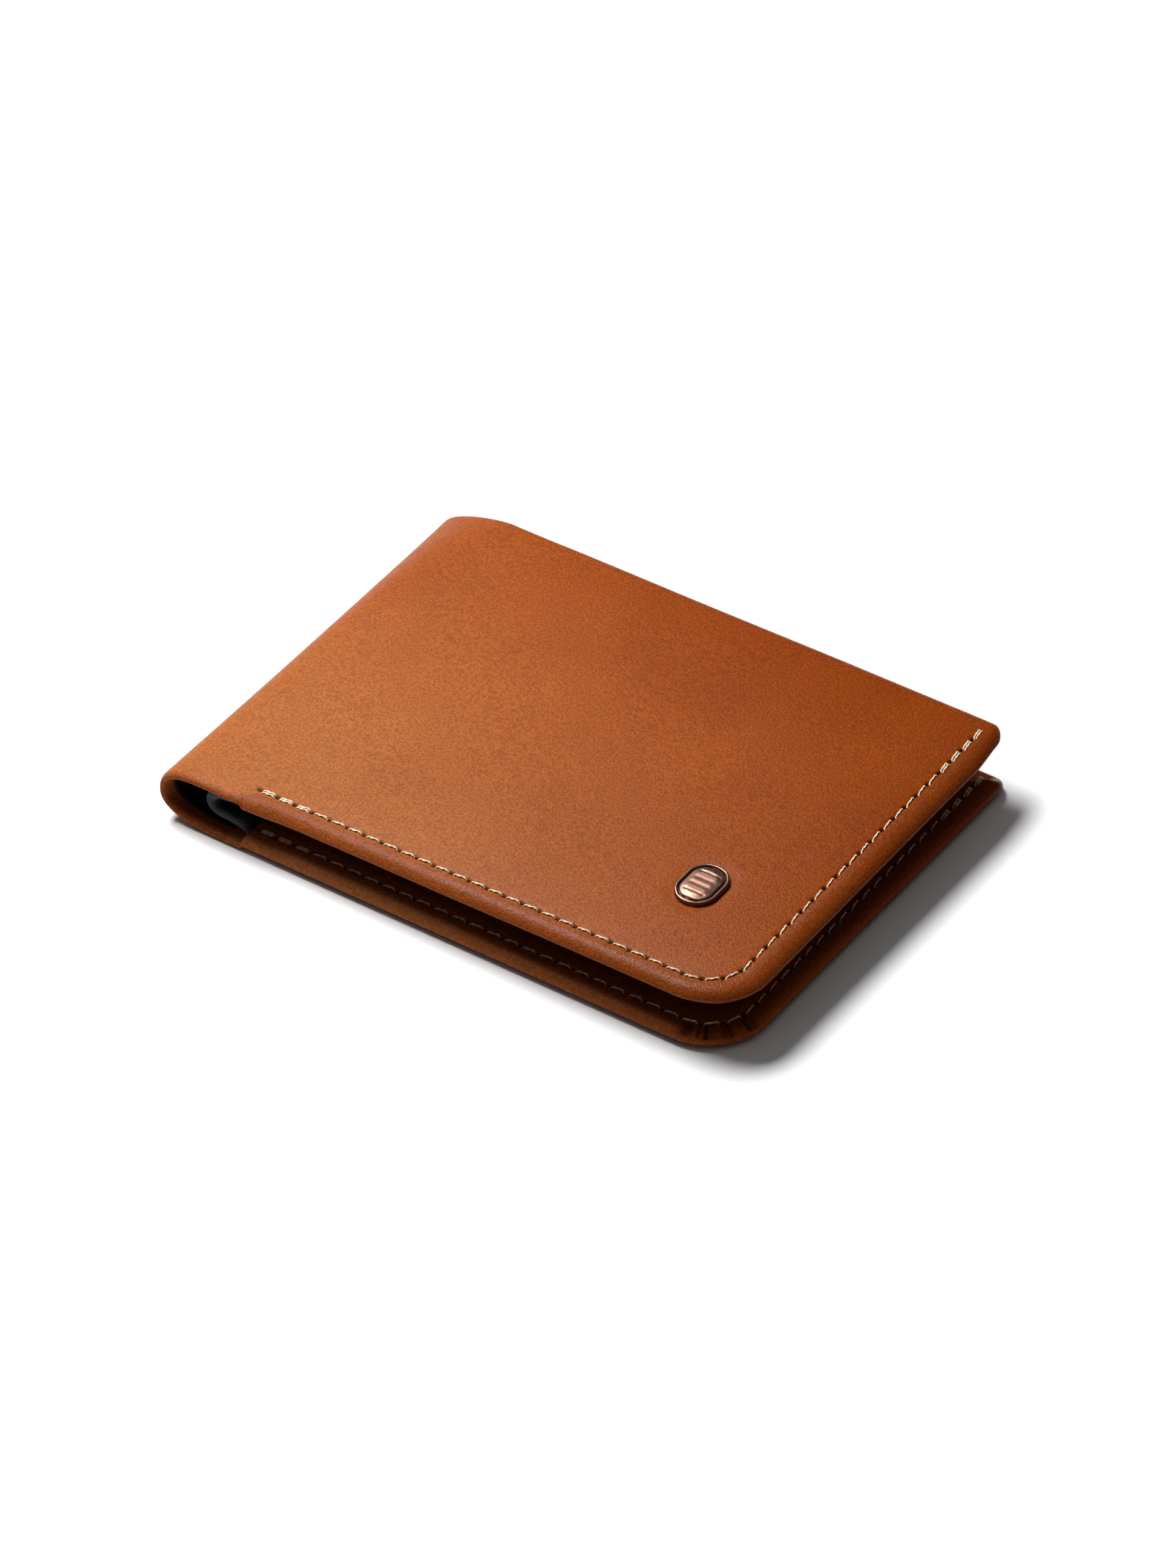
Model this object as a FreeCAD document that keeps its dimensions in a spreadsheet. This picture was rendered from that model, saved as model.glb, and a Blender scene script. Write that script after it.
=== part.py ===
import FreeCAD, Part
import math
import os

import Sketcher
from FreeCAD import Placement, Rotation, Vector

# A leather bifold wallet, closed, lying on its back leaf. Millimetres, +Z up.
# Origin: centre of the closed wallet's footprint, on the surface it lies on.
# The fold (spine) is at -X, the free edges at +X, the stitched bottom edge at -Y and the note opening at +Y.
# The front leaf mirrors the back leaf across mid-height.
# Depth is always counted from a leaf's outer face inward.

DIMENSIONS = [
    ("wallet_length", 115.5, "fold to free edge, closed"),
    ("wallet_height", 87.0, "stitched bottom edge to note opening"),
    ("wallet_thickness", 12.0, "both leaves and the gap between them"),
    ("leaf_thickness", 3.6, "one leaf at its hem"),
    ("near_corner", 11.7, "radius of the free corner at the stitched edge"),
    ("far_corner", 3.5, "radius of the free corner at the note opening"),
    ("leather_thickness", 0.9, "outer leather"),
    ("flange_thickness", 0.8, "skived leather turned in over the panels"),
    ("hem_wall", 1.0, "leather round the outside of the edge"),
    ("hem_width", 6.0, "turned hem, from the edge inward"),
    ("hem_setback", 17.0, "fold's outermost line to the start of the hem"),
    ("turned_edge_width", 7.0, "leather turned in along the note opening"),
    ("turned_edge_thickness", 0.4, "that turned leather, skived"),
    ("stitch_inset", 4.0, "edge to stitch line"),
    ("stitch_pitch", 3.5, "hole to hole"),
    ("stitch_length", 2.5, "thread seen between two holes"),
    ("stitch_start", 1.5, "start of the hem to the first hole"),
    ("thread_rest", 0.02, "thread clear of the leather under it"),
    ("thread_diameter", 0.45, "waxed thread"),
    ("groove_width", 0.9, "channel the stitches lie in"),
    ("groove_depth", 0.5, "channel the stitches lie in"),
    ("groove_run_out", 0.5, "channel beyond the first and the last hole"),
    ("seam_rise", 1.5, "hem to the first stitch of the card pockets' seam"),
    ("reinforcement_depth", 0.92, "depth of the bonded board's outer face"),
    ("reinforcement_thickness", 0.25, "bonded board"),
    ("lining_depth", 1.19, "depth of the lining's outer face"),
    ("lining_thickness", 0.2, "skiver lining"),
    ("divider_depth", 1.59, "depth of the note divider's outer face"),
    ("divider_thickness", 0.25, "note divider on a leaf"),
    ("backing_depth", 1.86, "depth of the card backing's outer face"),
    ("pocket_step_depth", 0.22, "depth from one card layer to the next"),
    ("pocket_thickness", 0.2, "skived pocket leather"),
    ("panel_clearance", 1.2, "edge of the leaf to the edge of the inner panels"),
    ("lining_gap", 0.2, "turned edge at the note opening to the lining"),
    ("backing_top", 4.0, "note opening down to the card backing's edge"),
    ("upper_pocket_top", 20.0, "note opening down to the upper pocket's edge"),
    ("pocket_stagger", 10.0, "one pocket's edge down to the next"),
    ("divider_setback", 2.0, "divider's bottom edge, behind the cover's"),
    ("divider_top", 3.0, "note opening down to the divider's edge"),
    ("fold_turn", 60.0, "degrees that each of the fold's three hinges turns"),
    ("strip_gap_angle", 0.8, "degrees of the fold's arc left clear on each side of a hinge"),
    ("divider_fold_radius", 2.5, "outside of the divider's own, looser fold"),
    ("divider_fold_shift", 4.4, "how far the divider's fold sits inside the cover's"),
    ("divider_fold_thickness", 1.0, "padded edge of the divider at the fold"),
    ("divider_tail", 2.0, "padded edge, straight beyond the fold"),
    ("divider_overlap", 1.0, "padded edge over the start of the divider's sheet"),
    ("badge_width", 7.8, "metal badge"),
    ("badge_height", 10.6, "metal badge"),
    ("badge_thickness", 1.0, "metal badge, proud of the leather"),
    ("badge_rim", 0.8, "raised rim round the recess"),
    ("badge_recess", 0.35, "depth of the recess"),
    ("badge_rib", 0.5, "width of a raised rib"),
    ("badge_rib_pitch", 1.7, "rib to rib"),
    ("badge_rib_gap", 0.8, "rib's end to the rim"),
    ("badge_from_free_edge", 21.3, "free edge to the badge's centre"),
    ("badge_from_bottom", 23.8, "stitched bottom edge to the badge's centre"),
    ("prong_width", 1.2, "clinched prong"),
    ("prong_thickness", 0.4, "clinched prong"),
    ("prong_spacing", 6.0, "prong to prong"),
    ("prong_clearance", 0.05, "slot round a prong, on each side"),
    ("washer_margin", 1.5, "washer, beyond the prongs"),
    ("washer_clearance", 0.2, "washer to the window it lies in"),
]
RIB_COUNT = 4
STRIP_COUNT = 2
LEAST_CUT = 0.001  # cubic millimetres
LEAVES = ("back", "front")
CARD_LAYERS = ("card_backing", "card_pocket_upper", "card_pocket_middle", "card_pocket_lower")

FOLD_X = "(-Dims.wallet_length / 2)"
FREE_X = "(Dims.wallet_length / 2)"
NEAR_Y = "(-Dims.wallet_height / 2)"
FAR_Y = "(Dims.wallet_height / 2)"
FOLD_RADIUS = "(Dims.wallet_thickness / 2)"
FOLD_CENTRE_X = f"({FOLD_X} + {FOLD_RADIUS})"
STRIP_HALF_ANGLE = "(Dims.fold_turn / 2 - Dims.strip_gap_angle)"
HEM_X = f"({FOLD_X} + Dims.hem_setback)"
STITCH_X = f"({HEM_X} + Dims.stitch_start)"
LINING_FAR = "(Dims.turned_edge_width + Dims.lining_gap)"
WASHER_WIDTH = "(Dims.prong_width + 2 * Dims.washer_margin)"
WASHER_LENGTH = "(Dims.prong_spacing + 2 * Dims.washer_margin)"
BADGE_X = f"({FREE_X} - Dims.badge_from_free_edge)"
BADGE_Y = f"({NEAR_Y} + Dims.badge_from_bottom)"

doc = FreeCAD.newDocument("BifoldWallet")


def make_sheet():
    """The driving dimensions, one per row: what it is, its value and its alias."""
    sheet = doc.addObject("Spreadsheet::Sheet", "Dims")
    for row, (alias, amount, meaning) in enumerate(DIMENSIONS, start=1):
        sheet.set(f"A{row}", meaning)
        sheet.set(f"B{row}", str(amount))
        sheet.setAlias(f"B{row}", alias)
    doc.recompute()
    return sheet


DIMS = make_sheet()


def amount(expression):
    """What an expression in the sheet's aliases comes to."""
    return float(DIMS.evalExpression(expression))


def height(leaf, depth):
    """Z of a depth counted inward from a leaf's outer face."""
    if leaf == "back":
        return f"({depth})"
    return f"(Dims.wallet_thickness - ({depth}))"


def lower_face(leaf, depth, thickness):
    """Z of the lower face of a layer that starts at a depth and is so thick."""
    if leaf == "back":
        return height(leaf, depth)
    return height(leaf, f"{depth} + {thickness}")


def new_body(label):
    body = doc.addObject("PartDesign::Body", label)
    body.Label = label
    return body


def new_sketch(body, role, offset):
    """A sketch on one of the body's own origin planes, moved along the plane's normal."""
    sketch = body.newObject("Sketcher::SketchObject", f"{body.Name}_sketch")
    planes = [feature for feature in body.Origin.OriginFeatures if feature.Role == role]
    sketch.AttachmentSupport = [(planes[0], "")]
    sketch.MapMode = "FlatFace"
    sketch.setExpression("AttachmentOffset.Base.z", offset)
    return sketch


def bind(sketch, constraint, expression):
    index = sketch.addConstraint(constraint)
    sketch.setExpression(f"Constraints[{index}]", expression)


def round_corner(start, end, radius, left, sweep):
    """An arc of so many radians from start to end, turning left or right of the way it runs."""
    run = end - start
    side = 1 if left else -1
    across = Vector(-run.y, run.x, 0) * (side / 2 / math.tan(sweep / 2))
    centre = (start + end) / 2 + across
    first = start if left else end
    angle = math.atan2(first.y - centre.y, first.x - centre.x)
    circle = Part.Circle(centre, Vector(0, 0, 1), radius)
    return Part.ArcOfCircle(circle, angle, angle + sweep)


def add_outline(sketch, corners, degrees="90"):
    """A closed outline. A corner is (x, y), or (x, y, radius, side) where an arc leads on from it."""
    sweep = math.radians(amount(degrees))
    places = [Vector(amount(corner[0]), amount(corner[1]), 0) for corner in corners]
    edges = []
    for index, corner in enumerate(corners):
        start = places[index]
        end = places[(index + 1) % len(corners)]
        if len(corner) == 2:
            edges.append((sketch.addGeometry(Part.LineSegment(start, end)), 1, 2))
        elif corner[3] == "left":
            arc = sketch.addGeometry(round_corner(start, end, amount(corner[2]), True, sweep))
            edges.append((arc, 1, 2))
        else:
            arc = sketch.addGeometry(round_corner(start, end, amount(corner[2]), False, sweep))
            edges.append((arc, 2, 1))
    for index, (edge, _, finish) in enumerate(edges):
        following, begin, _ = edges[(index + 1) % len(edges)]
        sketch.addConstraint(Sketcher.Constraint("Coincident", edge, finish, following, begin))
    for index, (edge, begin, _) in enumerate(edges):
        x_expression, y_expression = corners[index][:2]
        place = places[index]
        bind(sketch, Sketcher.Constraint("DistanceX", -1, 1, edge, begin, place.x), x_expression)
        bind(sketch, Sketcher.Constraint("DistanceY", -1, 1, edge, begin, place.y), y_expression)
        if len(corners[index]) > 2:
            radius = corners[index][2]
            bind(sketch, Sketcher.Constraint("Radius", edge, amount(radius)), radius)


def pad(body, sketch, length):
    feature = body.newObject("PartDesign::Pad", f"{body.Name}_pad")
    feature.Profile = sketch
    feature.setExpression("Length", length)
    doc.recompute()
    return feature


def pocket(body, sketch, length):
    """A cut from the sketch's plane downward; it must take something away."""
    before = body.Shape.Volume
    feature = body.newObject("PartDesign::Pocket", f"{body.Name}_pocket")
    feature.Profile = sketch
    feature.setExpression("Length", length)
    doc.recompute()
    if body.Shape.Volume > before - LEAST_CUT:
        raise ValueError(f"{feature.Label} cuts nothing")
    return feature


def leaf_outline(start_x, inset, far_inset):
    """A leaf's outline, drawn in from its edges: square at the fold, round at the free edge."""
    near = f"{NEAR_Y} + {inset}"
    far = f"{FAR_Y} - {far_inset}"
    free = f"{FREE_X} - {inset}"
    near_radius = f"Dims.near_corner - {inset}"
    return [
        (start_x, near),
        (f"{FREE_X} - Dims.near_corner", near, near_radius, "left"),
        (free, f"{NEAR_Y} + Dims.near_corner"),
        (free, f"{FAR_Y} - Dims.far_corner - {far_inset}", f"Dims.far_corner - {inset}", "left"),
        (f"{FREE_X} - Dims.far_corner", far),
        (start_x, far),
    ]


def panel_outline(start_x, inset, far_inset):
    """As leaf_outline, with a square corner at the note opening."""
    near = f"{NEAR_Y} + {inset}"
    far = f"{FAR_Y} - {far_inset}"
    free = f"{FREE_X} - {inset}"
    return [
        (start_x, near),
        (f"{FREE_X} - Dims.near_corner", near, f"Dims.near_corner - {inset}", "left"),
        (free, f"{NEAR_Y} + Dims.near_corner"),
        (free, far),
        (start_x, far),
    ]


def hem_band(start_x, outer, inner, far_inset):
    """A band that follows the near edge, the round corner and the free edge between two insets."""
    near_outer = f"{NEAR_Y} + {outer}"
    near_inner = f"{NEAR_Y} + {inner}"
    free_outer = f"{FREE_X} - {outer}"
    free_inner = f"{FREE_X} - {inner}"
    turn_x = f"{FREE_X} - Dims.near_corner"
    turn_y = f"{NEAR_Y} + Dims.near_corner"
    far = f"{FAR_Y} - {far_inset}"
    return [
        (start_x, near_outer),
        (turn_x, near_outer, f"Dims.near_corner - {outer}", "left"),
        (free_outer, turn_y),
        (free_outer, far),
        (free_inner, far),
        (free_inner, turn_y, f"Dims.near_corner - {inner}", "right"),
        (turn_x, near_inner),
        (start_x, near_inner),
    ]


def pad_layer(body, leaf, outline, depth, thickness):
    """Adds a layer of a leaf, given its outline, its depth and its thickness."""
    sketch = new_sketch(body, "XY_Plane", lower_face(leaf, depth, thickness))
    add_outline(sketch, outline)
    return pad(body, sketch, thickness)


def cut_layer(body, leaf, outline, depth, thickness):
    """Cuts an outline out of a leaf's solid, from a depth and so far inward."""
    upper = f"{lower_face(leaf, depth, thickness)} + {thickness}"
    sketch = new_sketch(body, "XY_Plane", upper)
    add_outline(sketch, outline)
    return pocket(body, sketch, thickness)


def add_lip(body, leaf, centre_x, radius, thickness, near_inset, far_inset):
    """The curved start of the fold that belongs to a leaf, from its flat part to the first or last hinge."""
    outer_depth = f"{FOLD_RADIUS} - {radius} * cos({STRIP_HALF_ANGLE})"
    inner_radius = f"({radius} - {thickness})"
    inner_depth = f"{FOLD_RADIUS} - {inner_radius} * cos({STRIP_HALF_ANGLE})"
    outer_side = "left" if leaf == "back" else "right"
    inner_side = "right" if leaf == "back" else "left"
    profile = [
        (f"{centre_x} - {radius} * sin({STRIP_HALF_ANGLE})", height(leaf, outer_depth), radius, outer_side),
        (centre_x, height(leaf, f"{FOLD_RADIUS} - {radius}")),
        (centre_x, height(leaf, f"{FOLD_RADIUS} - {inner_radius}"), inner_radius, inner_side),
        (f"{centre_x} - {inner_radius} * sin({STRIP_HALF_ANGLE})", height(leaf, inner_depth)),
    ]
    sketch = new_sketch(body, "XZ_Plane", f"-({FAR_Y} - {far_inset})")
    add_outline(sketch, profile, STRIP_HALF_ANGLE)
    pad(body, sketch, f"Dims.wallet_height - {near_inset} - {far_inset}")


def rectangle_corners(centre_x, centre_y, width, depth):
    low_x = f"{centre_x} - ({width}) / 2"
    high_x = f"{centre_x} + ({width}) / 2"
    low_y = f"{centre_y} - ({depth}) / 2"
    high_y = f"{centre_y} + ({depth}) / 2"
    return [(low_x, low_y), (high_x, low_y), (high_x, high_y), (low_x, high_y)]


def prong_centres():
    """The badge's two prongs stand one above the other."""
    return [f"{BADGE_Y} {sign} Dims.prong_spacing / 2" for sign in "-+"]


def cut_prong_slots(body, depth, thickness):
    width = "Dims.prong_width + 2 * Dims.prong_clearance"
    slot = "Dims.prong_thickness + 2 * Dims.prong_clearance"
    for centre_y in prong_centres():
        cut_layer(body, "front", rectangle_corners(BADGE_X, centre_y, width, slot), depth, thickness)


def make_cover(leaf):
    """Outer leather: the panel, the hem turned in over the inner panels, and the edge at the note opening."""
    body = new_body(f"{leaf}_cover")
    leather = "Dims.leather_thickness"
    flange_depth = "Dims.leaf_thickness - Dims.flange_thickness"
    corner = "Dims.far_corner"
    pad_layer(body, leaf, leaf_outline(FOLD_CENTRE_X, "0", "0"), "0", leather)
    add_lip(body, leaf, FOLD_CENTRE_X, FOLD_RADIUS, leather, "0", "0")
    wall = hem_band(HEM_X, "0", "Dims.hem_wall", corner)
    pad_layer(body, leaf, wall, leather, f"({flange_depth} - {leather})")
    flange = hem_band(HEM_X, "0", "Dims.hem_width", corner)
    pad_layer(body, leaf, flange, flange_depth, "Dims.flange_thickness")
    turned = [
        (FOLD_CENTRE_X, f"{FAR_Y} - Dims.turned_edge_width"),
        (f"{FREE_X} - Dims.hem_width", f"{FAR_Y} - Dims.turned_edge_width"),
        (f"{FREE_X} - Dims.hem_width", FAR_Y),
        (FOLD_CENTRE_X, FAR_Y),
    ]
    pad_layer(body, leaf, turned, leather, "Dims.turned_edge_thickness")
    groove_outer = "(Dims.stitch_inset - Dims.groove_width / 2)"
    groove_inner = "(Dims.stitch_inset + Dims.groove_width / 2)"
    groove_start = f"{STITCH_X} - Dims.groove_run_out"
    groove = hem_band(groove_start, groove_outer, groove_inner, f"({corner} + Dims.groove_run_out)")
    cut_layer(body, leaf, groove, "0", "Dims.groove_depth")
    cut_layer(body, leaf, groove, "Dims.leaf_thickness - Dims.groove_depth", "Dims.groove_depth")
    if leaf == "front":
        cut_prong_slots(body, "0", leather)
    return body


def make_reinforcement(leaf):
    """Bonded board behind the leather; on the front it has a window for the badge's washer."""
    body = new_body(f"{leaf}_reinforcement")
    outline = panel_outline(FOLD_CENTRE_X, "Dims.panel_clearance", LINING_FAR)
    pad_layer(body, leaf, outline, "Dims.reinforcement_depth", "Dims.reinforcement_thickness")
    if leaf == "front":
        width = f"{WASHER_WIDTH} + 2 * Dims.washer_clearance"
        length = f"{WASHER_LENGTH} + 2 * Dims.washer_clearance"
        window = rectangle_corners(BADGE_X, BADGE_Y, width, length)
        cut_layer(body, leaf, window, "Dims.reinforcement_depth", "Dims.reinforcement_thickness")
    return body


def make_lining(leaf):
    body = new_body(f"{leaf}_lining")
    outline = panel_outline(FOLD_CENTRE_X, "Dims.panel_clearance", LINING_FAR)
    pad_layer(body, leaf, outline, "Dims.lining_depth", "Dims.lining_thickness")
    radius = f"({FOLD_RADIUS} - Dims.lining_depth)"
    add_lip(body, leaf, FOLD_CENTRE_X, radius, "Dims.lining_thickness", "Dims.panel_clearance", LINING_FAR)
    return body


def make_divider(leaf):
    """Inner wall of the note compartment, with a thicker tail that leads to its own fold."""
    body = new_body(f"{leaf}_divider")
    outline = panel_outline(HEM_X, "Dims.panel_clearance", "Dims.divider_top")
    pad_layer(body, leaf, outline, "Dims.divider_depth", "Dims.divider_thickness")
    fold_x = f"({FOLD_CENTRE_X} + Dims.divider_fold_shift)"
    outer_depth = f"{FOLD_RADIUS} - Dims.divider_fold_radius"
    inner_depth = f"{outer_depth} + Dims.divider_fold_thickness"
    sheet_depth = "Dims.divider_depth"
    sheet_inner_depth = "Dims.divider_depth + Dims.divider_thickness"
    tail_x = f"{fold_x} + Dims.divider_tail"
    profile = [
        (fold_x, height(leaf, outer_depth)),
        (tail_x, height(leaf, outer_depth)),
        (f"{HEM_X} - Dims.divider_overlap", height(leaf, sheet_depth)),
        (f"{HEM_X} + Dims.divider_overlap", height(leaf, sheet_depth)),
        (f"{HEM_X} + Dims.divider_overlap", height(leaf, sheet_inner_depth)),
        (HEM_X, height(leaf, sheet_inner_depth)),
        (tail_x, height(leaf, inner_depth)),
        (fold_x, height(leaf, inner_depth)),
    ]
    sketch = new_sketch(body, "XZ_Plane", f"-({FAR_Y} - Dims.divider_top)")
    add_outline(sketch, profile)
    pad(body, sketch, "Dims.wallet_height - Dims.divider_top - Dims.divider_setback")
    add_lip(
        body, leaf, fold_x, "Dims.divider_fold_radius", "Dims.divider_fold_thickness",
        "Dims.divider_setback", "Dims.divider_top")
    return body


def make_card_layers(leaf):
    """The backing and the three staggered card pockets, each one nearer the middle of the closed wallet."""
    layers = []
    for index, name in enumerate(CARD_LAYERS):
        body = new_body(f"{leaf}_{name}")
        if index == 0:
            top = "Dims.backing_top"
        else:
            top = f"(Dims.upper_pocket_top + {index - 1} * Dims.pocket_stagger)"
        depth = f"(Dims.backing_depth + {index} * Dims.pocket_step_depth)"
        outline = panel_outline(HEM_X, "Dims.panel_clearance", top)
        pad_layer(body, leaf, outline, depth, "Dims.pocket_thickness")
        layers.append(body)
    return layers


def hem_station(distance):
    """Place and direction on the stitch line, a distance along it from the start of the hem."""
    inset = amount("Dims.stitch_inset")
    corner = amount("Dims.near_corner")
    radius = corner - inset
    start_x = amount(STITCH_X)
    turn_x = amount(FREE_X) - corner
    turn_y = amount(NEAR_Y) + corner
    straight = turn_x - start_x
    bend = radius * math.pi / 2
    if distance < straight:
        return Vector(start_x + distance, turn_y - radius, 0), Vector(1, 0, 0)
    if distance < straight + bend:
        angle = (distance - straight) / radius
        place = Vector(turn_x + radius * math.sin(angle), turn_y - radius * math.cos(angle), 0)
        return place, Vector(math.cos(angle), math.sin(angle), 0)
    return Vector(turn_x + radius, turn_y + distance - straight - bend, 0), Vector(0, 1, 0)


def hem_stitch_count():
    """Whole stitches between the start of the hem and the note opening."""
    inset = amount("Dims.stitch_inset")
    corner = amount("Dims.near_corner")
    straight_near = amount(FREE_X) - corner - amount(STITCH_X)
    straight_free = amount("Dims.wallet_height - Dims.far_corner - Dims.groove_run_out") - corner
    bend = (corner - inset) * math.pi / 2
    return int((straight_near + bend + straight_free) / amount("Dims.stitch_pitch"))


def thread_piece(place, direction, level):
    """One visible stitch: a short length of thread lying along the stitch line."""
    radius = amount("Dims.thread_diameter") / 2
    length = amount("Dims.stitch_length")
    base = place - direction * (length / 2) + Vector(0, 0, level)
    return Part.makeCylinder(radius, length, base, direction)


def make_stitching(leaf):
    """The hem's stitches on both faces, and the seam that closes the card pockets beside the fold."""
    radius = amount("Dims.thread_diameter") / 2
    axis_rise = f"({radius} + Dims.thread_rest)"
    outer_level = amount(height(leaf, f"Dims.groove_depth - {axis_rise}"))
    inner_level = amount(height(leaf, f"Dims.leaf_thickness - Dims.groove_depth + {axis_rise}"))
    pieces = []
    for index in range(hem_stitch_count()):
        place, direction = hem_station((index + 0.5) * amount("Dims.stitch_pitch"))
        pieces.append(thread_piece(place, direction, outer_level))
        pieces.append(thread_piece(place, direction, inner_level))
    pockets = len(CARD_LAYERS) - 1
    card_depth = f"Dims.backing_depth + {pockets} * Dims.pocket_step_depth + Dims.pocket_thickness"
    seam_level = amount(height(leaf, f"{card_depth} + {axis_rise}"))
    seam_low = amount(f"{NEAR_Y} + Dims.hem_width + Dims.seam_rise")
    seam_high = amount(f"{FAR_Y} - Dims.upper_pocket_top - {pockets - 1} * Dims.pocket_stagger")
    seam_count = int((seam_high - seam_low) / amount("Dims.stitch_pitch"))
    seam_x = amount(STITCH_X)
    for index in range(seam_count):
        place = Vector(seam_x, seam_low + (index + 0.5) * amount("Dims.stitch_pitch"), 0)
        pieces.append(thread_piece(place, Vector(0, 1, 0), seam_level))
    stitching = doc.addObject("Part::Feature", f"{leaf}_stitching")
    stitching.Label = f"{leaf}_stitching"
    stitching.Shape = Part.makeCompound(pieces)
    stitching.Placement = Placement()
    return stitching


def make_fold_strip(label, number, radius, thickness, centre_x, near_inset, far_inset):
    """One curved strip of the fold, between two hinges, turned about the fold's centre line."""
    body = new_body(label)
    sketch = new_sketch(body, "XZ_Plane", f"-({FAR_Y} - {far_inset})")
    inner_radius = f"({radius} - {thickness})"
    across = f"cos({STRIP_HALF_ANGLE})"
    along = f"sin({STRIP_HALF_ANGLE})"
    profile = [
        (f"-{radius} * {across}", f"{radius} * {along}", radius, "left"),
        (f"-{radius} * {across}", f"-{radius} * {along}"),
        (f"-{inner_radius} * {across}", f"-{inner_radius} * {along}", inner_radius, "right"),
        (f"-{inner_radius} * {across}", f"{inner_radius} * {along}"),
    ]
    add_outline(sketch, profile, f"2 * {STRIP_HALF_ANGLE}")
    pad(body, sketch, f"Dims.wallet_height - {near_inset} - {far_inset}")
    tilt = (number - (STRIP_COUNT + 1) / 2) * amount("Dims.fold_turn")
    centre = Vector(amount(centre_x), 0, amount(FOLD_RADIUS))
    body.Placement = Placement(centre, Rotation(Vector(0, 1, 0), tilt))
    body.setExpression("Placement.Base.x", centre_x)
    body.setExpression("Placement.Base.z", FOLD_RADIUS)
    return body


def make_fold():
    """The strips of the fold, each of leather, lining and divider. Strip 1 is next to the back leaf."""
    strips = []
    lining_radius = f"({FOLD_RADIUS} - Dims.lining_depth)"
    divider_centre = f"({FOLD_CENTRE_X} + Dims.divider_fold_shift)"
    for number in range(1, STRIP_COUNT + 1):
        strips.append(make_fold_strip(
            f"fold_cover_{number}", number, FOLD_RADIUS, "Dims.leather_thickness", FOLD_CENTRE_X, "0", "0"))
        strips.append(make_fold_strip(
            f"fold_lining_{number}", number, lining_radius, "Dims.lining_thickness", FOLD_CENTRE_X,
            "Dims.panel_clearance", LINING_FAR))
        strips.append(make_fold_strip(
            f"fold_divider_{number}", number, "Dims.divider_fold_radius", "Dims.divider_fold_thickness",
            divider_centre, "Dims.divider_setback", "Dims.divider_top"))
    return strips


def round_tablet(centre_x, centre_y, width, length):
    """An upright tablet: straight sides and half-round ends, each end two quarter circles."""
    left = f"{centre_x} - {width} / 2"
    right = f"{centre_x} + {width} / 2"
    low = f"{centre_y} - {length} / 2"
    high = f"{centre_y} + {length} / 2"
    radius = f"{width} / 2"
    return [
        (centre_x, low, radius, "left"),
        (right, f"{low} + {radius}"),
        (right, f"{high} - {radius}", radius, "left"),
        (centre_x, high, radius, "left"),
        (left, f"{high} - {radius}"),
        (left, f"{low} + {radius}", radius, "left"),
    ]


def make_badge():
    """A cast tablet with a raised rim and plain ribs, and two prongs that pass through the leather."""
    body = new_body("badge")
    outline = round_tablet(BADGE_X, BADGE_Y, "Dims.badge_width", "Dims.badge_height")
    base = new_sketch(body, "XY_Plane", "Dims.wallet_thickness")
    add_outline(base, outline)
    pad(body, base, "Dims.badge_thickness")
    top = "Dims.wallet_thickness + Dims.badge_thickness"
    inner_width = "(Dims.badge_width - 2 * Dims.badge_rim)"
    inner_height = "(Dims.badge_height - 2 * Dims.badge_rim)"
    recess = new_sketch(body, "XY_Plane", top)
    add_outline(recess, round_tablet(BADGE_X, BADGE_Y, inner_width, inner_height))
    pocket(body, recess, "Dims.badge_recess")
    prong_level = "Dims.wallet_thickness - Dims.reinforcement_depth - Dims.reinforcement_thickness"
    prongs = new_sketch(body, "XY_Plane", prong_level)
    for centre_y in prong_centres():
        add_outline(prongs, rectangle_corners(BADGE_X, centre_y, "Dims.prong_width", "Dims.prong_thickness"))
    pad(body, prongs, f"Dims.wallet_thickness - ({prong_level})")
    ribs = new_sketch(body, "XY_Plane", f"{top} - Dims.badge_recess")
    lowest = f"{BADGE_Y} - {RIB_COUNT - 1} * Dims.badge_rib_pitch / 2"
    rib_length = f"{inner_width} - 2 * Dims.badge_rib_gap"
    add_outline(ribs, rectangle_corners(BADGE_X, lowest, rib_length, "Dims.badge_rib"))
    rib = pad(body, ribs, "Dims.badge_recess")
    pattern = body.newObject("PartDesign::LinearPattern", "badge_ribs")
    pattern.Originals = [rib]
    pattern.Direction = (ribs, ["V_Axis"])
    pattern.Occurrences = RIB_COUNT
    pattern.setExpression("Length", f"{RIB_COUNT - 1} * Dims.badge_rib_pitch")
    body.Tip = pattern
    doc.recompute()
    return body


def make_badge_washer():
    """The plate behind the leather that the badge's prongs are clinched over."""
    body = new_body("badge_washer")
    outline = rectangle_corners(BADGE_X, BADGE_Y, WASHER_WIDTH, WASHER_LENGTH)
    pad_layer(body, "front", outline, "Dims.reinforcement_depth", "Dims.reinforcement_thickness")
    cut_prong_slots(body, "Dims.reinforcement_depth", "Dims.reinforcement_thickness")
    return body


def make_wallet():
    nodes = []
    for leaf in LEAVES:
        nodes.append(make_cover(leaf))
        nodes.append(make_reinforcement(leaf))
        nodes.append(make_lining(leaf))
        nodes.append(make_divider(leaf))
        nodes.extend(make_card_layers(leaf))
        nodes.append(make_stitching(leaf))
    nodes.extend(make_fold())
    nodes.append(make_badge())
    nodes.append(make_badge_washer())
    doc.recompute()
    return nodes


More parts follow.
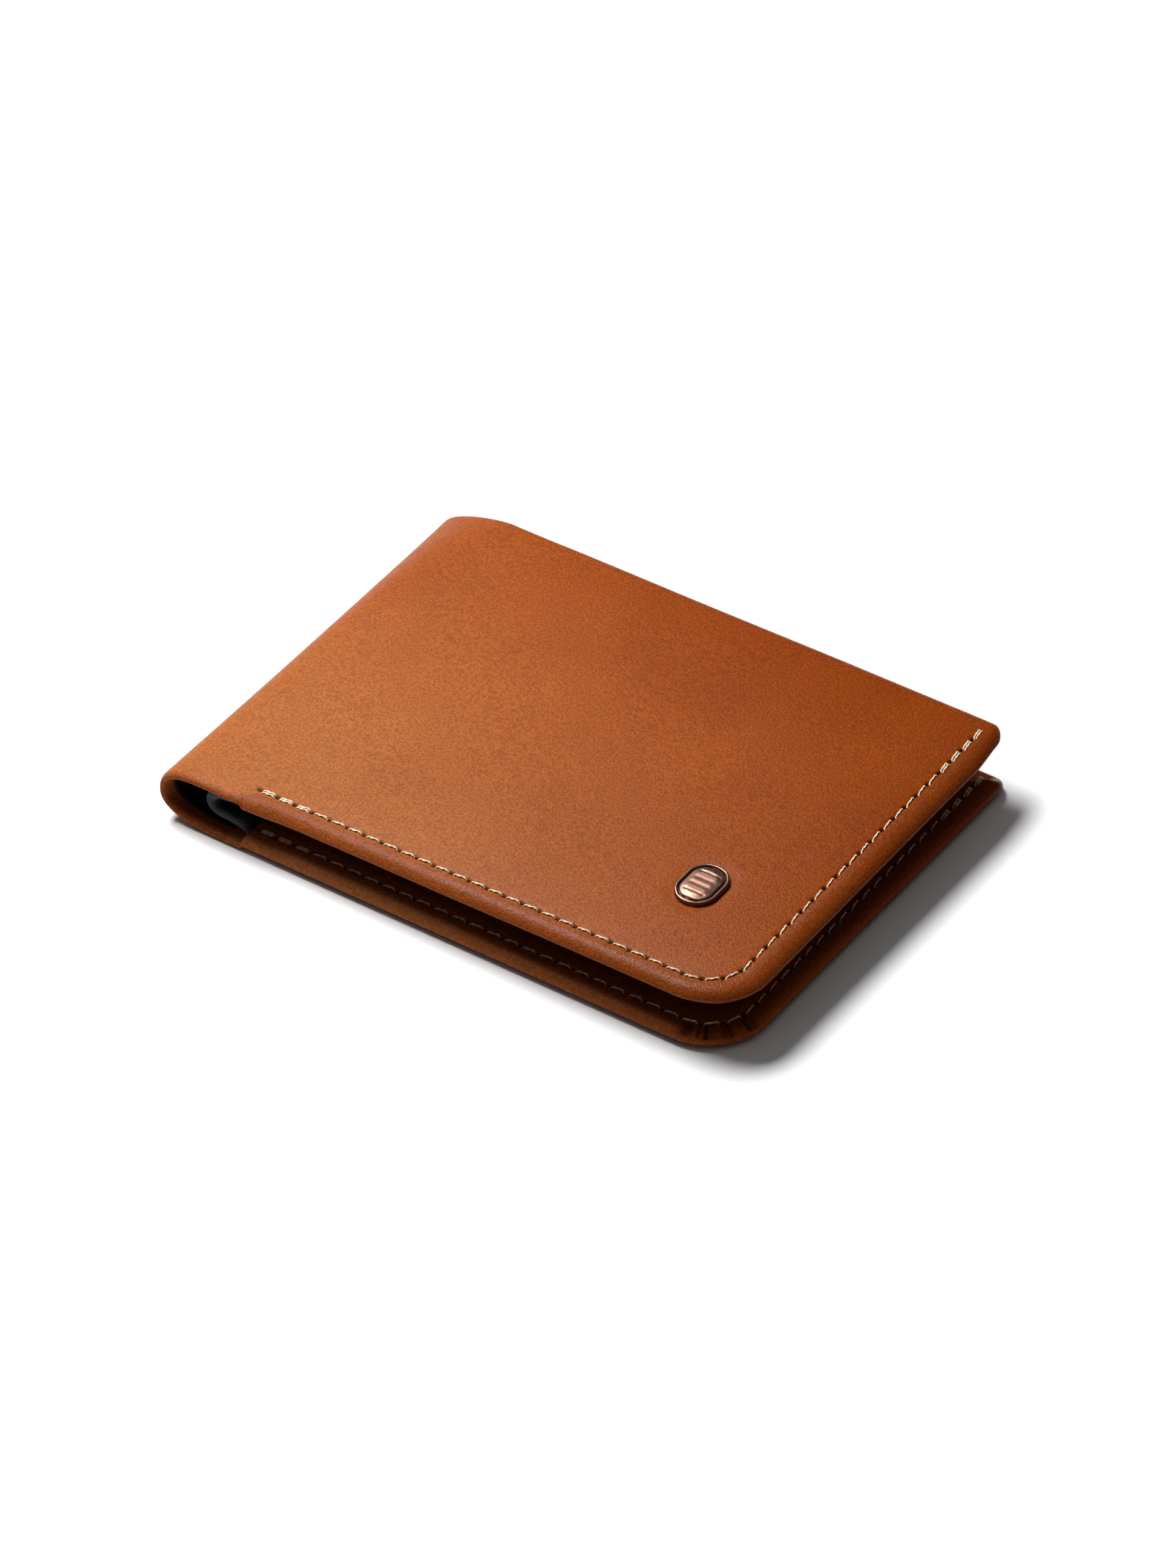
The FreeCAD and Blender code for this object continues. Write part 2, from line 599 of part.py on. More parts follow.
def check(nodes):
    """Stops if a feature failed, a sketch is loose or a piece has no sound solid."""
    for item in doc.Objects:
        if "Invalid" in item.State or "Error" in item.State:
            raise ValueError(f"{item.Label} failed: {item.State}")
        if item.TypeId == "Sketcher::SketchObject" and not item.FullyConstrained:
            raise ValueError(f"{item.Label} isn't fully constrained")
    for node in nodes:
        if node.Shape.isNull() or not node.Shape.isValid() or not node.Shape.Solids:
            raise ValueError(f"{node.Label} has no sound solid")


def export(nodes):
    os.makedirs("parts", exist_ok=True)
    for node in nodes:
        node.Shape.exportStep(os.path.join("parts", f"{node.Label}.step"))
        print(f"{node.Label}: {len(node.Shape.Solids)} solid(s), {node.Shape.Volume:.1f} mm3")


pieces_of_wallet = make_wallet()
check(pieces_of_wallet)
export(pieces_of_wallet)
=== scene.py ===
import math
from functools import partial

import bmesh
import bpy
import numpy as np
from mathutils import Matrix, Vector


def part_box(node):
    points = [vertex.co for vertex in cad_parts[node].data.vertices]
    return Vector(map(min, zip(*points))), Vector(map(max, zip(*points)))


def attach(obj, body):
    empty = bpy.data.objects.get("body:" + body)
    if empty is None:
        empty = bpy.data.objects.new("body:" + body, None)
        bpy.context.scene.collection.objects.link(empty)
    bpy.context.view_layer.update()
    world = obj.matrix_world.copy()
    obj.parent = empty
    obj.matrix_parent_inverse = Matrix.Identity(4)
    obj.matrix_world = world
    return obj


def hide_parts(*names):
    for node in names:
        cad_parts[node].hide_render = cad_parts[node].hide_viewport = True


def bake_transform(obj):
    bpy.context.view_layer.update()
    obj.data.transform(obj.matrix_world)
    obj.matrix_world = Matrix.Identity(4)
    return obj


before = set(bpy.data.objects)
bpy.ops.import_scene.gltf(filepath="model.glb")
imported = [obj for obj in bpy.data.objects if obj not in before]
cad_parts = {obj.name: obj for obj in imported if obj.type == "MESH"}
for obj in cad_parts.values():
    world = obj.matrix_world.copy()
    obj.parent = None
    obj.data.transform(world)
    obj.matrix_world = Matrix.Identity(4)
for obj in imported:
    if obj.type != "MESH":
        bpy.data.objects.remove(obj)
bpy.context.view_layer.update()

# A closed leather bifold wallet. The fold is at -X, the free edges at +X, the stitched near edge at -Y
# and the note opening at +Y. Depth is counted from a leaf's outer face inward, as in the CAD part.

MM = 0.001
WELD = 0.002 * MM
LEAVES = ("back", "front")

# Places from the frame
FREE_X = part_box("front_cover")[1].x
NEAR_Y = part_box("front_cover")[0].y
FAR_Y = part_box("front_cover")[1].y
TOP_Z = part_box("front_cover")[1].z
FOLD_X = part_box("fold_cover_1")[0].x
HEM_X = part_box("back_card_backing")[0].x
FOLD_RADIUS = TOP_Z / 2
FOLD_CENTRE = np.array([FOLD_X + FOLD_RADIUS, FOLD_RADIUS])
BADGE_LOW, BADGE_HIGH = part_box("badge")
BADGE_CENTRE = (BADGE_LOW + BADGE_HIGH) / 2

# The leaves as they really lie: the front leaf droops towards the fold and the near edge, and is domed
LEAF_SQUEEZE = 0.86
FRONT_DROOP = 0.35 * MM
FRONT_RISE_ALONG = 0.95 * MM
FRONT_RISE_ACROSS = 1.05 * MM
DOME = 0.7 * MM
DOME_REACH = 8.0 * MM
DOME_NEAR_START = 5 * MM
DOME_NEAR_RUN = 25 * MM
DOME_FAR = 0.9
DOME_FOLD = 0.3
FAR_LIFT = 0.28 * MM
FAR_LIFT_REACH = 12.0 * MM
CORNER_PULL = 0.9 * MM
CORNER_PULL_ALONG = 5 * MM
CORNER_PULL_ACROSS = 12 * MM
NEAR_PULL = 0.55 * MM
NEAR_PULL_REACH = 4 * MM
NEAR_PULL_RUN = 8 * MM
FRONT_THINNER = 0.22
THINNER_RUN = 12 * MM
WAVE_HEIGHT = 0.05 * MM
WAVE_ALONG = 7.3 * MM
WAVE_ACROSS = 9.1 * MM
WAVE_SKEW = 23 * MM
WAVE_SHIFT = 0.8
WAVE_RUN_IN = 16 * MM
SEAT_DEPTH = 0.22 * MM
SEAT_REACH = 1.3 * MM

# Outline and hem. The constants below for the stitch grooves, holes, pleats and back leaf paint shade into
# the leather's colour; a name that starts with RICH is about where the leather keeps the darker edge tone,
# without the painted sheen
NEAR_CORNER = 11.7 * MM
FAR_CORNER = 3.5 * MM
LEAST_RADIUS = 0.6 * MM
INNER_LINE = 8.5 * MM
LEATHER = 0.85 * MM
OUTER_STITCH_INSET = 4.25 * MM
INNER_STITCH_INSET = 3.7 * MM
STITCH_START = 1.3 * MM
STITCH_END = 2.6 * MM
STITCHES = 48
STATIONS_PER_STITCH = 12
JOIN_STITCHES = 1.25
COARSE_STEP = 3
FAR_ARC_STATIONS = 12
HOLE_DEPTH = 0.6 * MM
HOLE_RADIUS = 0.30 * MM
HOLE_HALF_LENGTH = 0.5 * MM
PUCKER = 0.012 * MM
PUCKER_INSET = 2.6 * MM
PUCKER_REACH = 1.2 * MM
PLEATS = 8
PLEAT_DEPTH = 1.1 * MM
PLEAT_SHARPNESS = 0.75
PLEAT_WANDER = 0.35
PLEAT_WANDER_RATE = 23
PLEAT_RUN_IN = 6
PLEAT_START = 0.1 * MM
PLEAT_END = 3.9 * MM
PLEAT_RISE = 0.8 * MM
PLEAT_FADE = 0.9 * MM
CREASE = 0.08 * MM
CREASE_WIDTH = 0.35 * MM
CREASE_INSET = 3.6 * MM
CREASE_FADE = 2 * MM
GROOVE_WIDTH = 0.27 * MM
# Painted shade: how dark the stitch grooves, the stitch holes and the pleats' valleys are painted, the
# least mark that counts, and the back leaf's darkening
GROOVE_SHADE = 0.06
HOLE_SHADE = 1.2
PLEAT_SHADE = 0.9
LEAST_SHADE = 0.04
LEAST_HEM = 0.3
BACK_SHADE = 0.1
RICH_INSET = 4.4 * MM
RICH_FADE = 1.6 * MM
RICH_RUN_IN = 7.0 * MM
RIM_INSET = 1.6 * MM
INSIDE_SHADE_START = 2.2 * MM
INSIDE_SHADE_FADE = 1.2 * MM
HEM_RUN_IN = 0.7 * MM
FRONT_HEM_START = 0.6
FRONT_HEM_RAMP = 7.0 * MM

# Section of the stitched hem and of the thin turned edge: (inset, depth) in mm, outer face first
HEM_SECTION = [
    (8.0, 0.0), (6.0, 0.03), (4.8, 0.08), (4.25, 0.2), (3.7, 0.06), (2.3, -0.06), (1.05, 0.3),
    (0.15, 1.1), (0.0, 1.6), (0.25, 2.3), (1.0, 2.88), (2.2, 3.12), (3.15, 3.0), (3.7, 2.74),
    (4.3, 2.98), (5.5, 3.04), (6.0, 2.78), (5.8, 2.44), (1.9, 2.38), (1.1, 1.7), (1.7, 0.9), (8.0, 0.85)]
TURNED_SECTION = [
    (8.0, 0.0), (6.2, 0.0), (4.9, 0.0), (3.8, 0.0), (2.8, 0.0), (1.7, 0.0), (0.8, 0.08),
    (0.15, 0.42), (0.0, 0.74), (0.12, 1.05), (0.6, 1.38), (1.5, 1.46), (2.6, 1.46), (3.6, 1.46),
    (4.6, 1.46), (5.8, 1.46), (6.9, 1.43), (7.15, 1.3), (7.25, 1.15), (7.4, 0.98), (7.6, 0.88), (8.0, 0.85)]
SECTION_STEPS = 3
OUTER_HALF = 8
FLANGE_END = 17

# The fold, cut at these degrees of its half turn
FOLD_CUTS = (60, 120)
FOLD_SAMPLES = 1201
FOLD_RICH_END = 1.1
FOLD_RICH_FADE = 0.4
SPINE_RISE = 0.4 * MM
FOLD_WAIST = 0.55 * MM
FOLD_BULGE = 0.2 * MM
FOLD_COLUMNS = (26, 26, 34)
LOWER_REACH = 6.7 * MM
LOWER_RISE = 5.2 * MM
UPPER_START = 8.2 * MM
UPPER_RISE = 3.8 * MM
UPPER_REACH = 0.63
# How the upper half changes towards the far end, where it opens out
FAR_FLARE = 5.0 * MM
FAR_RISE = -0.87 * MM
FAR_REACH = -0.43
FAR_SPINE = -0.45 * MM
CUT_MARGIN = 0.35 * MM
LEAF_BLEND = 5.0 * MM
MIDDLE_BLEND = 4.2 * MM


def smooth(value):
    """0 below 0, 1 above 1 and a soft step between."""
    value = np.clip(value, 0, 1)
    return value * value * (3 - 2 * value)


def bell(distance, reach):
    """1 at no distance, falling off to both sides."""
    return np.exp(-(distance / reach) ** 2)


def quarter_round(value):
    """0 at 0, rising on a quarter circle to 1 at 1."""
    return np.sqrt(np.clip(1 - (1 - np.clip(value, 0, 1)) ** 2, 0, 1))


def spline(points, steps):
    """A Catmull-Rom curve through the points, so many steps from each to the next."""
    points = np.array(points, float)
    ends = np.vstack([2 * points[0] - points[1], points, 2 * points[-1] - points[-2]])
    curve = []
    for index in range(len(points) - 1):
        a, b, c, d = ends[index:index + 4]
        for t in np.arange(steps) / steps:
            curve.append(0.5 * (2 * b + (c - a) * t + (2 * a - 5 * b + 4 * c - d) * t ** 2
                                + (3 * b - a - 3 * c + d) * t ** 3))
    curve.append(points[-1])
    return np.array(curve)


def badge_distance(x, y):
    """Distance outside the badge's outline."""
    half_width = (BADGE_HIGH.x - BADGE_LOW.x) / 2
    half_straight = (BADGE_HIGH.y - BADGE_LOW.y) / 2 - half_width
    past = np.maximum(np.abs(y - BADGE_CENTRE.y) - half_straight, 0)
    return np.hypot(x - BADGE_CENTRE.x, past) - half_width


def fade(distance):
    """1 at an edge of the leaf, falling off inward."""
    return np.exp(-np.maximum(distance, 0) / DOME_REACH)


def top_height(x, y):
    """Z of the front leaf's outer face, slightly domed."""
    along = (x - HEM_X) / (FREE_X - HEM_X)
    across = (y - NEAR_Y) / (FAR_Y - NEAR_Y)
    from_fold = fade(x - FOLD_X - UPPER_START)
    from_near = fade(y - NEAR_Y) * (0.5 + 0.5 * smooth((x - FOLD_X - DOME_NEAR_START) / DOME_NEAR_RUN))
    from_far = DOME_FAR * fade(FAR_Y - y)
    dome = np.sqrt(from_near ** 2 + fade(FREE_X - x) ** 2 + from_far ** 2 + (DOME_FOLD * from_fold) ** 2)
    past_fold = np.maximum(x - FOLD_X - UPPER_START, 0)
    lift = FAR_LIFT * np.clip(across, 0, 1) ** 4 * np.exp(-past_fold / FAR_LIFT_REACH)
    wave = np.sin(x / WAVE_ALONG + y / WAVE_SKEW) * np.sin(y / WAVE_ACROSS + WAVE_SHIFT)
    run_in = smooth((x - JOIN_X) / WAVE_RUN_IN)
    seat = SEAT_DEPTH * bell(np.maximum(badge_distance(x, y), 0), SEAT_REACH)
    rise = FRONT_RISE_ALONG * along + FRONT_RISE_ACROSS * across
    return TOP_Z - FRONT_DROOP + rise - DOME * dome + lift + (WAVE_HEIGHT * wave - seat) * run_in


def leaf_height(leaf, x, y, depth):
    """Z of a depth below a leaf's outer face. The back leaf lies flat, the front one is thinner."""
    if leaf == "back":
        return np.maximum(depth, 0) + 0 * x
    return top_height(x, y) - depth * (1 - FRONT_THINNER * smooth((x - HEM_X) / THINNER_RUN))


def leaf_point(leaf, x, y, depth):
    """A point of a leaf. The front leaf's near edge and far free corner are drawn in a little."""
    x, y, depth = np.broadcast_arrays(x, y, depth)
    z = leaf_height(leaf, x, y, depth)
    if leaf == "front":
        pull = smooth((y - FAR_Y + CORNER_PULL_ACROSS) / (CORNER_PULL_ACROSS - MM))
        pull = pull * smooth((x - FREE_X + CORNER_PULL_ALONG) / CORNER_PULL_ALONG)
        draw = smooth((NEAR_Y + NEAR_PULL_REACH - y) / NEAR_PULL_REACH)
        x, y = x - CORNER_PULL * pull, y + NEAR_PULL * draw * smooth((x - HEM_X) / NEAR_PULL_RUN)
    return np.stack([x, y, z], -1)


# Stations round the hem: near straight, near corner, free straight, far corner, far straight
STITCH_X = HEM_X + STITCH_START
NEAR_RUN = FREE_X - NEAR_CORNER - STITCH_X
CORNER_RUN = (NEAR_CORNER - OUTER_STITCH_INSET) * math.pi / 2
FREE_RUN = FAR_Y - STITCH_END - NEAR_Y - NEAR_CORNER
PITCH = (NEAR_RUN + CORNER_RUN + FREE_RUN) / STITCHES
JOIN_X = STITCH_X - JOIN_STITCHES * PITCH


def far_radius(inset):
    return np.maximum(FAR_CORNER - inset, LEAST_RADIUS)


def hem_stations():
    """(kind, value, run) of the stations along the near edge, round its corner and up the free edge."""
    step = PITCH / STATIONS_PER_STITCH
    free_run = FAR_Y - OUTER_STITCH_INSET - far_radius(OUTER_STITCH_INSET) - NEAR_Y - NEAR_CORNER
    stations = []
    run = JOIN_X - STITCH_X
    while run < NEAR_RUN + CORNER_RUN + free_run - step / 2:
        if run < NEAR_RUN - step / 2:
            stations.append((0, STITCH_X + run, run))
        elif run < NEAR_RUN + CORNER_RUN - step / 2:
            stations.append((1, max(run - NEAR_RUN, 0) / CORNER_RUN * math.pi / 2, run))
        else:
            stations.append((2, max(run - NEAR_RUN - CORNER_RUN, 0) / free_run, run))
        run += step
    return stations


def build_stations():
    """All the stations, in an array, and the two that lie in the middle of the corners."""
    stations = hem_stations()
    kinds = np.array([station[0] for station in stations])
    values = np.array([station[1] for station in stations])
    middle = int(np.argmin(np.abs(values - math.pi / 4) + (kinds != 1) * 9))
    middle -= middle % COARSE_STEP
    half_arc = FAR_ARC_STATIONS // 2
    spare = (len(stations) - middle + half_arc) % COARSE_STEP
    stations = stations[:len(stations) - spare]
    last_run = stations[-1][2]
    for index in range(FAR_ARC_STATIONS + 1):
        stations.append((3, index / FAR_ARC_STATIONS * math.pi / 2, last_run + index))
    far_middle = len(stations) - 1 - half_arc
    count = middle - half_arc
    for index in range(1, count + 1):
        stations.append((4, index / count, last_run + index))
    return np.array(stations), middle, far_middle


STATIONS, NEAR_MIDDLE, FAR_MIDDLE = build_stations()


def outline(station, inset):
    """X and Y of stations, so far in from the edge."""
    kind, value = station[..., 0], station[..., 1]
    kind, value, inset = np.broadcast_arrays(kind, value, inset)
    near = NEAR_CORNER - inset
    far = far_radius(inset)
    turn_x, turn_y = FREE_X - NEAR_CORNER, NEAR_Y + NEAR_CORNER
    end_x, end_y = FREE_X - inset - far, FAR_Y - inset - far
    x = np.select(
        [kind == 0, kind == 1, kind == 2, kind == 3],
        [value, turn_x + near * np.sin(value), FREE_X - inset, end_x + far * np.cos(value)],
        end_x + (JOIN_X - end_x) * value)
    y = np.select(
        [kind == 0, kind == 1, kind == 2, kind == 3],
        [NEAR_Y + inset, turn_y - near * np.cos(value), turn_y + (end_y - turn_y) * value,
         end_y + far * np.sin(value)],
        FAR_Y - inset)
    return x, y


HEM_CURVE = spline(HEM_SECTION, SECTION_STEPS) * MM
TURNED_CURVE = spline(TURNED_SECTION, SECTION_STEPS) * MM
HALF_INDEX = OUTER_HALF * SECTION_STEPS
FLANGE_INDEX = FLANGE_END * SECTION_STEPS
# Where the painted shade on the back leaf's band starts and how fast it grows
BACK_SHADE_START = HALF_INDEX - 6
BACK_SHADE_RUN = 9


def hem_share(leaf):
    """1 where the edge is a stitched hem, 0 where it is only turned. The front hem thickens slowly."""
    value = STATIONS[:, 1]
    start = smooth((value - HEM_X + HEM_RUN_IN / 2) / HEM_RUN_IN)
    if leaf == "front":
        ramp = smooth((value - HEM_X) / FRONT_HEM_RAMP)
        start = start * (FRONT_HEM_START + (1 - FRONT_HEM_START) * ramp)
    return along_hem(start)


def along_hem(start):
    """A share of every station: start along the near edge, then 1, falling to 0 round the far corner."""
    kind, value = STATIONS[:, 0], STATIONS[:, 1]
    end = smooth(1 - value / (math.pi / 2))
    return np.select([kind == 0, kind < 3, kind == 3], [start, 1.0, end], 0.0)


def hole_weight(station):
    """1 at the stations where the needle went through."""
    phase = station[:, 2] / PITCH
    near_hole = np.abs(phase - np.round(phase)) * PITCH
    real = (station[:, 0] < 3) & (phase > -0.5)
    return real * np.exp(-(near_hole / HOLE_HALF_LENGTH) ** 4)


def at_stitches(inset, reach):
    """1 on the outer and on the inner stitch line."""
    return bell(inset - OUTER_STITCH_INSET, reach), bell(inset - INNER_STITCH_INSET, reach)


def hem_band(leaf):
    """Points (station, section) of a leaf's edge from the outer face to the inner, and their marks."""
    share = hem_share(leaf)[:, None]
    inset = HEM_CURVE[:, 0] * share + TURNED_CURVE[:, 0] * (1 - share)
    depth = HEM_CURVE[:, 1] * share + TURNED_CURVE[:, 1] * (1 - share)
    index = np.arange(len(HEM_CURVE))
    outer = (index < HALF_INDEX)[None]
    flange = ((index >= HALF_INDEX) & (index <= FLANGE_INDEX))[None]
    hole = hole_weight(STATIONS)[:, None]
    at_outer, at_inner = at_stitches(inset, HOLE_RADIUS)
    depth = depth + HOLE_DEPTH * hole * (at_outer * outer - at_inner * flange)
    phase = STATIONS[:, 2:3] / PITCH
    pucker = PUCKER * share * np.cos(2 * math.pi * phase) * (STATIONS[:, 0:1] < 3)
    depth = depth + pucker * bell(inset - PUCKER_INSET, PUCKER_REACH) * outer
    depth = depth - pleats(inset) * flange
    crease = bell(STATIONS[:, 1:2] - HEM_X, CREASE_WIDTH) * (STATIONS[:, 0:1] == 0)
    depth = depth + CREASE * crease * outer * smooth((CREASE_INSET - inset) / CREASE_FADE)
    x, y = outline(STATIONS[:, None, :], inset)
    # Painted shade: the stitch grooves and holes and the pleats' valleys are darkened
    at_outer, at_inner = at_stitches(inset, GROOVE_WIDTH)
    groove = at_outer * outer + at_inner * flange
    painted_shade = np.clip((GROOVE_SHADE + HOLE_SHADE * hole) * groove * (share > LEAST_HEM), 0, 1)
    painted_shade = np.maximum(painted_shade, PLEAT_SHADE * pleats(inset) / PLEAT_DEPTH * flange)
    rich = np.maximum(smooth((rich_inset() - inset) / RICH_FADE), (index >= HALF_INDEX)[None])
    # The back leaf lies under the front one: its inner side gets painted shade, and its whole band the
    # darker edge tone
    if leaf == "back":
        painted_shade = np.maximum(painted_shade, BACK_SHADE * smooth((index - BACK_SHADE_START) / BACK_SHADE_RUN)[None])
        rich = np.ones_like(inset)
    # Painted shade: the leaf's inner face past the flange is darkened to black
    inside = (index > FLANGE_INDEX + 1)[None] + 0 * inset
    return leaf_point(leaf, x, y, depth), tone_marks(np.maximum(painted_shade, inside), rich)


def rich_inset():
    """How far in from the edge the leather keeps the darker edge tone, without the painted sheen: the hem's
    width where there is a hem.
    """
    share = along_hem(smooth((STATIONS[:, 1] - JOIN_X) / RICH_RUN_IN))
    return (RIM_INSET + (RICH_INSET - RIM_INSET) * share)[:, None]


def tone_marks(painted_shade, rich):
    """Marks of the leather: above 0 how much shade is painted on it, below 0 how far it keeps the darker
    edge tone, without the painted sheen.
    """
    return np.where(painted_shade > LEAST_SHADE, painted_shade, -rich)


def pleats(inset):
    """Depth of the gathers where the hem's leather is turned in round the near corner."""
    angle = STATIONS[:, 1:2] / (math.pi / 2)
    corner = (STATIONS[:, 0:1] == 1) * smooth(angle * PLEAT_RUN_IN) * smooth((1 - angle) * PLEAT_RUN_IN)
    wander = PLEAT_WANDER * np.sin(angle * PLEAT_WANDER_RATE)
    fold = np.abs(np.sin(math.pi * (angle * PLEATS + wander))) ** PLEAT_SHARPNESS
    band = smooth((inset - PLEAT_START) / PLEAT_RISE) * smooth((PLEAT_END - inset) / PLEAT_FADE)
    return PLEAT_DEPTH * (1 - fold) * corner * band


def coons(near, free, far, fold):
    """A grid (along near, along free) filled in between four edges that meet at their ends."""
    u = np.linspace(0, 1, len(near))[:, None, None]
    v = np.linspace(0, 1, len(free))[None, :, None]
    sides = (1 - v) * near[:, None] + v * far[:, None] + (1 - u) * fold[None] + u * free[None]
    corners = ((1 - u) * (1 - v) * near[0] + u * (1 - v) * near[-1]
               + (1 - u) * v * far[0] + u * v * far[-1])
    return sides - corners


class Shell:
    """Grids of points welded into one closed surface. Faces keep a part number, points a mark: above 0
    for painted shade or the badge's tarnish, below 0 for leather that keeps the darker edge tone, without
    the painted sheen."""

    def __init__(self):
        self.points = []
        self.faces = []
        self.parts = []
        self.marks = []
        self.count = 0

    def add_points(self, points, marks=None):
        points = np.asarray(points).reshape(-1, 3)
        start = self.count
        self.points.append(points)
        self.marks.append(np.zeros(len(points)) if marks is None else np.asarray(marks).reshape(-1))
        self.count += len(points)
        return start

    def add_grid(self, grid, part=0, marks=None, closed=False):
        """Faces of a (rows, columns, 3) grid. part is a number, or one for each row of faces."""
        rows, columns = grid.shape[:2]
        start = self.add_points(grid, marks)
        index = start + np.arange(rows * columns).reshape(rows, columns)
        if closed:
            index = np.hstack([index, index[:, :1]])
        quads = np.stack([index[:-1, :-1], index[1:, :-1], index[1:, 1:], index[:-1, 1:]], -1)
        parts = np.broadcast_to(np.reshape(part, (-1, 1)), quads.shape[:2])
        self.faces.extend(quads.reshape(-1, 4).tolist())
        self.parts.extend(parts.reshape(-1).tolist())
        return index

    def add_faces(self, faces, part=0):
        self.faces.extend(faces)
        self.parts.extend([part] * len(faces))

    def weld(self, name):
        mesh = bpy.data.meshes.new(name)
        mesh.from_pydata(np.vstack(self.points).tolist(), [], self.faces)
        mesh.polygons.foreach_set("material_index", np.array(self.parts, np.int32))
        mark = mesh.attributes.new("mark", "FLOAT", "POINT")
        mark.data.foreach_set("value", np.concatenate(self.marks).astype(np.float32))
        work = bmesh.new()
        work.from_mesh(mesh)
        bmesh.ops.remove_doubles(work, verts=work.verts, dist=WELD)
        bmesh.ops.recalc_face_normals(work, faces=work.faces)
        for face in work.faces:
            face.smooth = True
        work.to_mesh(mesh)
        work.free()
        return mesh


def add_object(name, mesh, material):
    piece = bpy.data.objects.new(name, mesh)
    bpy.context.scene.collection.objects.link(piece)
    mesh.materials.clear()
    mesh.materials.append(material)
    mesh.polygons.foreach_set("material_index", np.zeros(len(mesh.polygons), np.int32))
    return piece


def split_parts(mesh, names, material):
    """One object for each part number of a welded mesh, closed at the cuts, shaded as the whole."""
    normals = np.zeros(len(mesh.vertices) * 3, np.float32)
    mesh.vertex_normals.foreach_get("vector", normals)
    kept = mesh.attributes.new("whole_normal", "FLOAT_VECTOR", "POINT")
    kept.data.foreach_set("vector", normals)
    pieces = []
    for part, name in enumerate(names):
        work = bmesh.new()
        work.from_mesh(mesh)
        others = [face for face in work.faces if face.material_index != part]
        bmesh.ops.delete(work, geom=others, context="FACES")
        rim = [edge for edge in work.edges if edge.is_boundary]
        bmesh.ops.edgeloop_fill(work, edges=rim)
        piece_mesh = bpy.data.meshes.new(name)
        work.to_mesh(piece_mesh)
        work.free()
        whole = piece_mesh.attributes["whole_normal"]
        values = np.zeros(len(piece_mesh.vertices) * 3, np.float32)
        whole.data.foreach_get("vector", values)
        piece_mesh.attributes.remove(whole)
        piece_mesh.normals_split_custom_set_from_vertices(values.reshape(-1, 3).tolist())
        pieces.append(add_object(name, piece_mesh, material))
    return pieces


def split_layer(shell, layer, names, material):
    """A layer that runs over the fold: three pieces, which stand for its CAD nodes."""
    pieces = split_parts(shell.weld(layer), names, material)
    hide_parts(f"back_{layer}")
    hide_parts(f"fold_{layer}_1", f"fold_{layer}_2")
    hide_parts(f"front_{layer}")
    return pieces


def bezier(a, b, c, d, t):
    """Point and direction on a cubic curve."""
    s = 1 - t
    point = s ** 3 * a + 3 * s * s * t * b + 3 * s * t * t * c + t ** 3 * d
    way = 3 * (s * s * (b - a) + 2 * s * t * (c - b) + t * t * (d - c))
    return point, way


def fold_point(u, y, depth):
    """A point of the fold: u runs to 1 up the lower half, to 2 over the upper one, to 3 along the flat."""
    u, y, depth = np.broadcast_arrays(u, y, depth)
    across = (y - NEAR_Y) / (FAR_Y - NEAR_Y)
    far = np.clip(across, 0, 1) ** 4
    spine_x = FOLD_X - FOLD_BULGE + FOLD_WAIST * np.sin(math.pi * np.clip(across, 0, 1)) + FAR_SPINE * far
    spine_z = FOLD_RADIUS + SPINE_RISE * across
    upper_x = FOLD_X + UPPER_START + FAR_FLARE * far
    upper_z = top_height(upper_x, y)
    upper_turn = upper_x - (UPPER_REACH + FAR_REACH * far) * (upper_x - spine_x)
    upper_rise = UPPER_RISE + FAR_RISE * far
    lower_t, upper_t, flat_t = np.clip(u, 0, 1), np.clip(u - 1, 0, 1), np.clip(u - 2, 0, 1)
    one = np.ones_like(y)
    low_x, low_dx = bezier(JOIN_X * one, (JOIN_X - LOWER_REACH) * one, spine_x, spine_x, lower_t)
    low_z, low_dz = bezier(0 * one, 0 * one, spine_z - LOWER_RISE, spine_z, lower_t)
    high_x, high_dx = bezier(spine_x, spine_x, upper_turn, upper_x, upper_t)
    high_z, high_dz = bezier(spine_z, spine_z + upper_rise, upper_z, upper_z, upper_t)
    flat_x = upper_x + (JOIN_X - upper_x) * flat_t
    lower, flat = u < 1, u > 2
    x = np.where(lower, low_x, np.where(flat, flat_x, high_x))
    z = np.where(lower, low_z, np.where(flat, top_height(flat_x, y), high_z))
    dx = np.where(lower, low_dx, np.where(flat, 1.0, high_dx))
    dz = np.where(lower, low_dz, np.where(flat, 0.0, high_dz))
    length = np.hypot(dx, dz)
    return np.stack([x + depth * dz / length, y, z - depth * dx / length], -1)


def fold_columns():
    """Values of u, evenly spaced between the ends and the cuts, and the part that each gap belongs to."""
    u = np.linspace(0.0, 3.0, FOLD_SAMPLES)
    points = fold_point(u, 0.0, 0.0)
    turn = np.degrees(np.unwrap(np.arctan2(FOLD_CENTRE[0] - points[:, 0], FOLD_CENTRE[1] - points[:, 2])))
    length = np.concatenate([[0], np.cumsum(np.linalg.norm(np.diff(points, axis=0), axis=1))])
    spine = (u > 0.3) & (u < 1.9)
    cuts = np.interp(FOLD_CUTS, turn[spine], length[spine])
    stops = [0, cuts[0], cuts[1], length[-1]]
    columns = [np.linspace(stops[n], stops[n + 1], FOLD_COLUMNS[n] + 1)[:-1] for n in range(3)]
    lengths = np.concatenate(columns + [[length[-1]]])
    columns = np.interp(lengths, length, u)
    columns[-1] = 3.0
    parts = np.repeat([0, 1, 2], FOLD_COLUMNS)
    return columns, parts


FOLD_U, FOLD_PARTS = fold_columns()


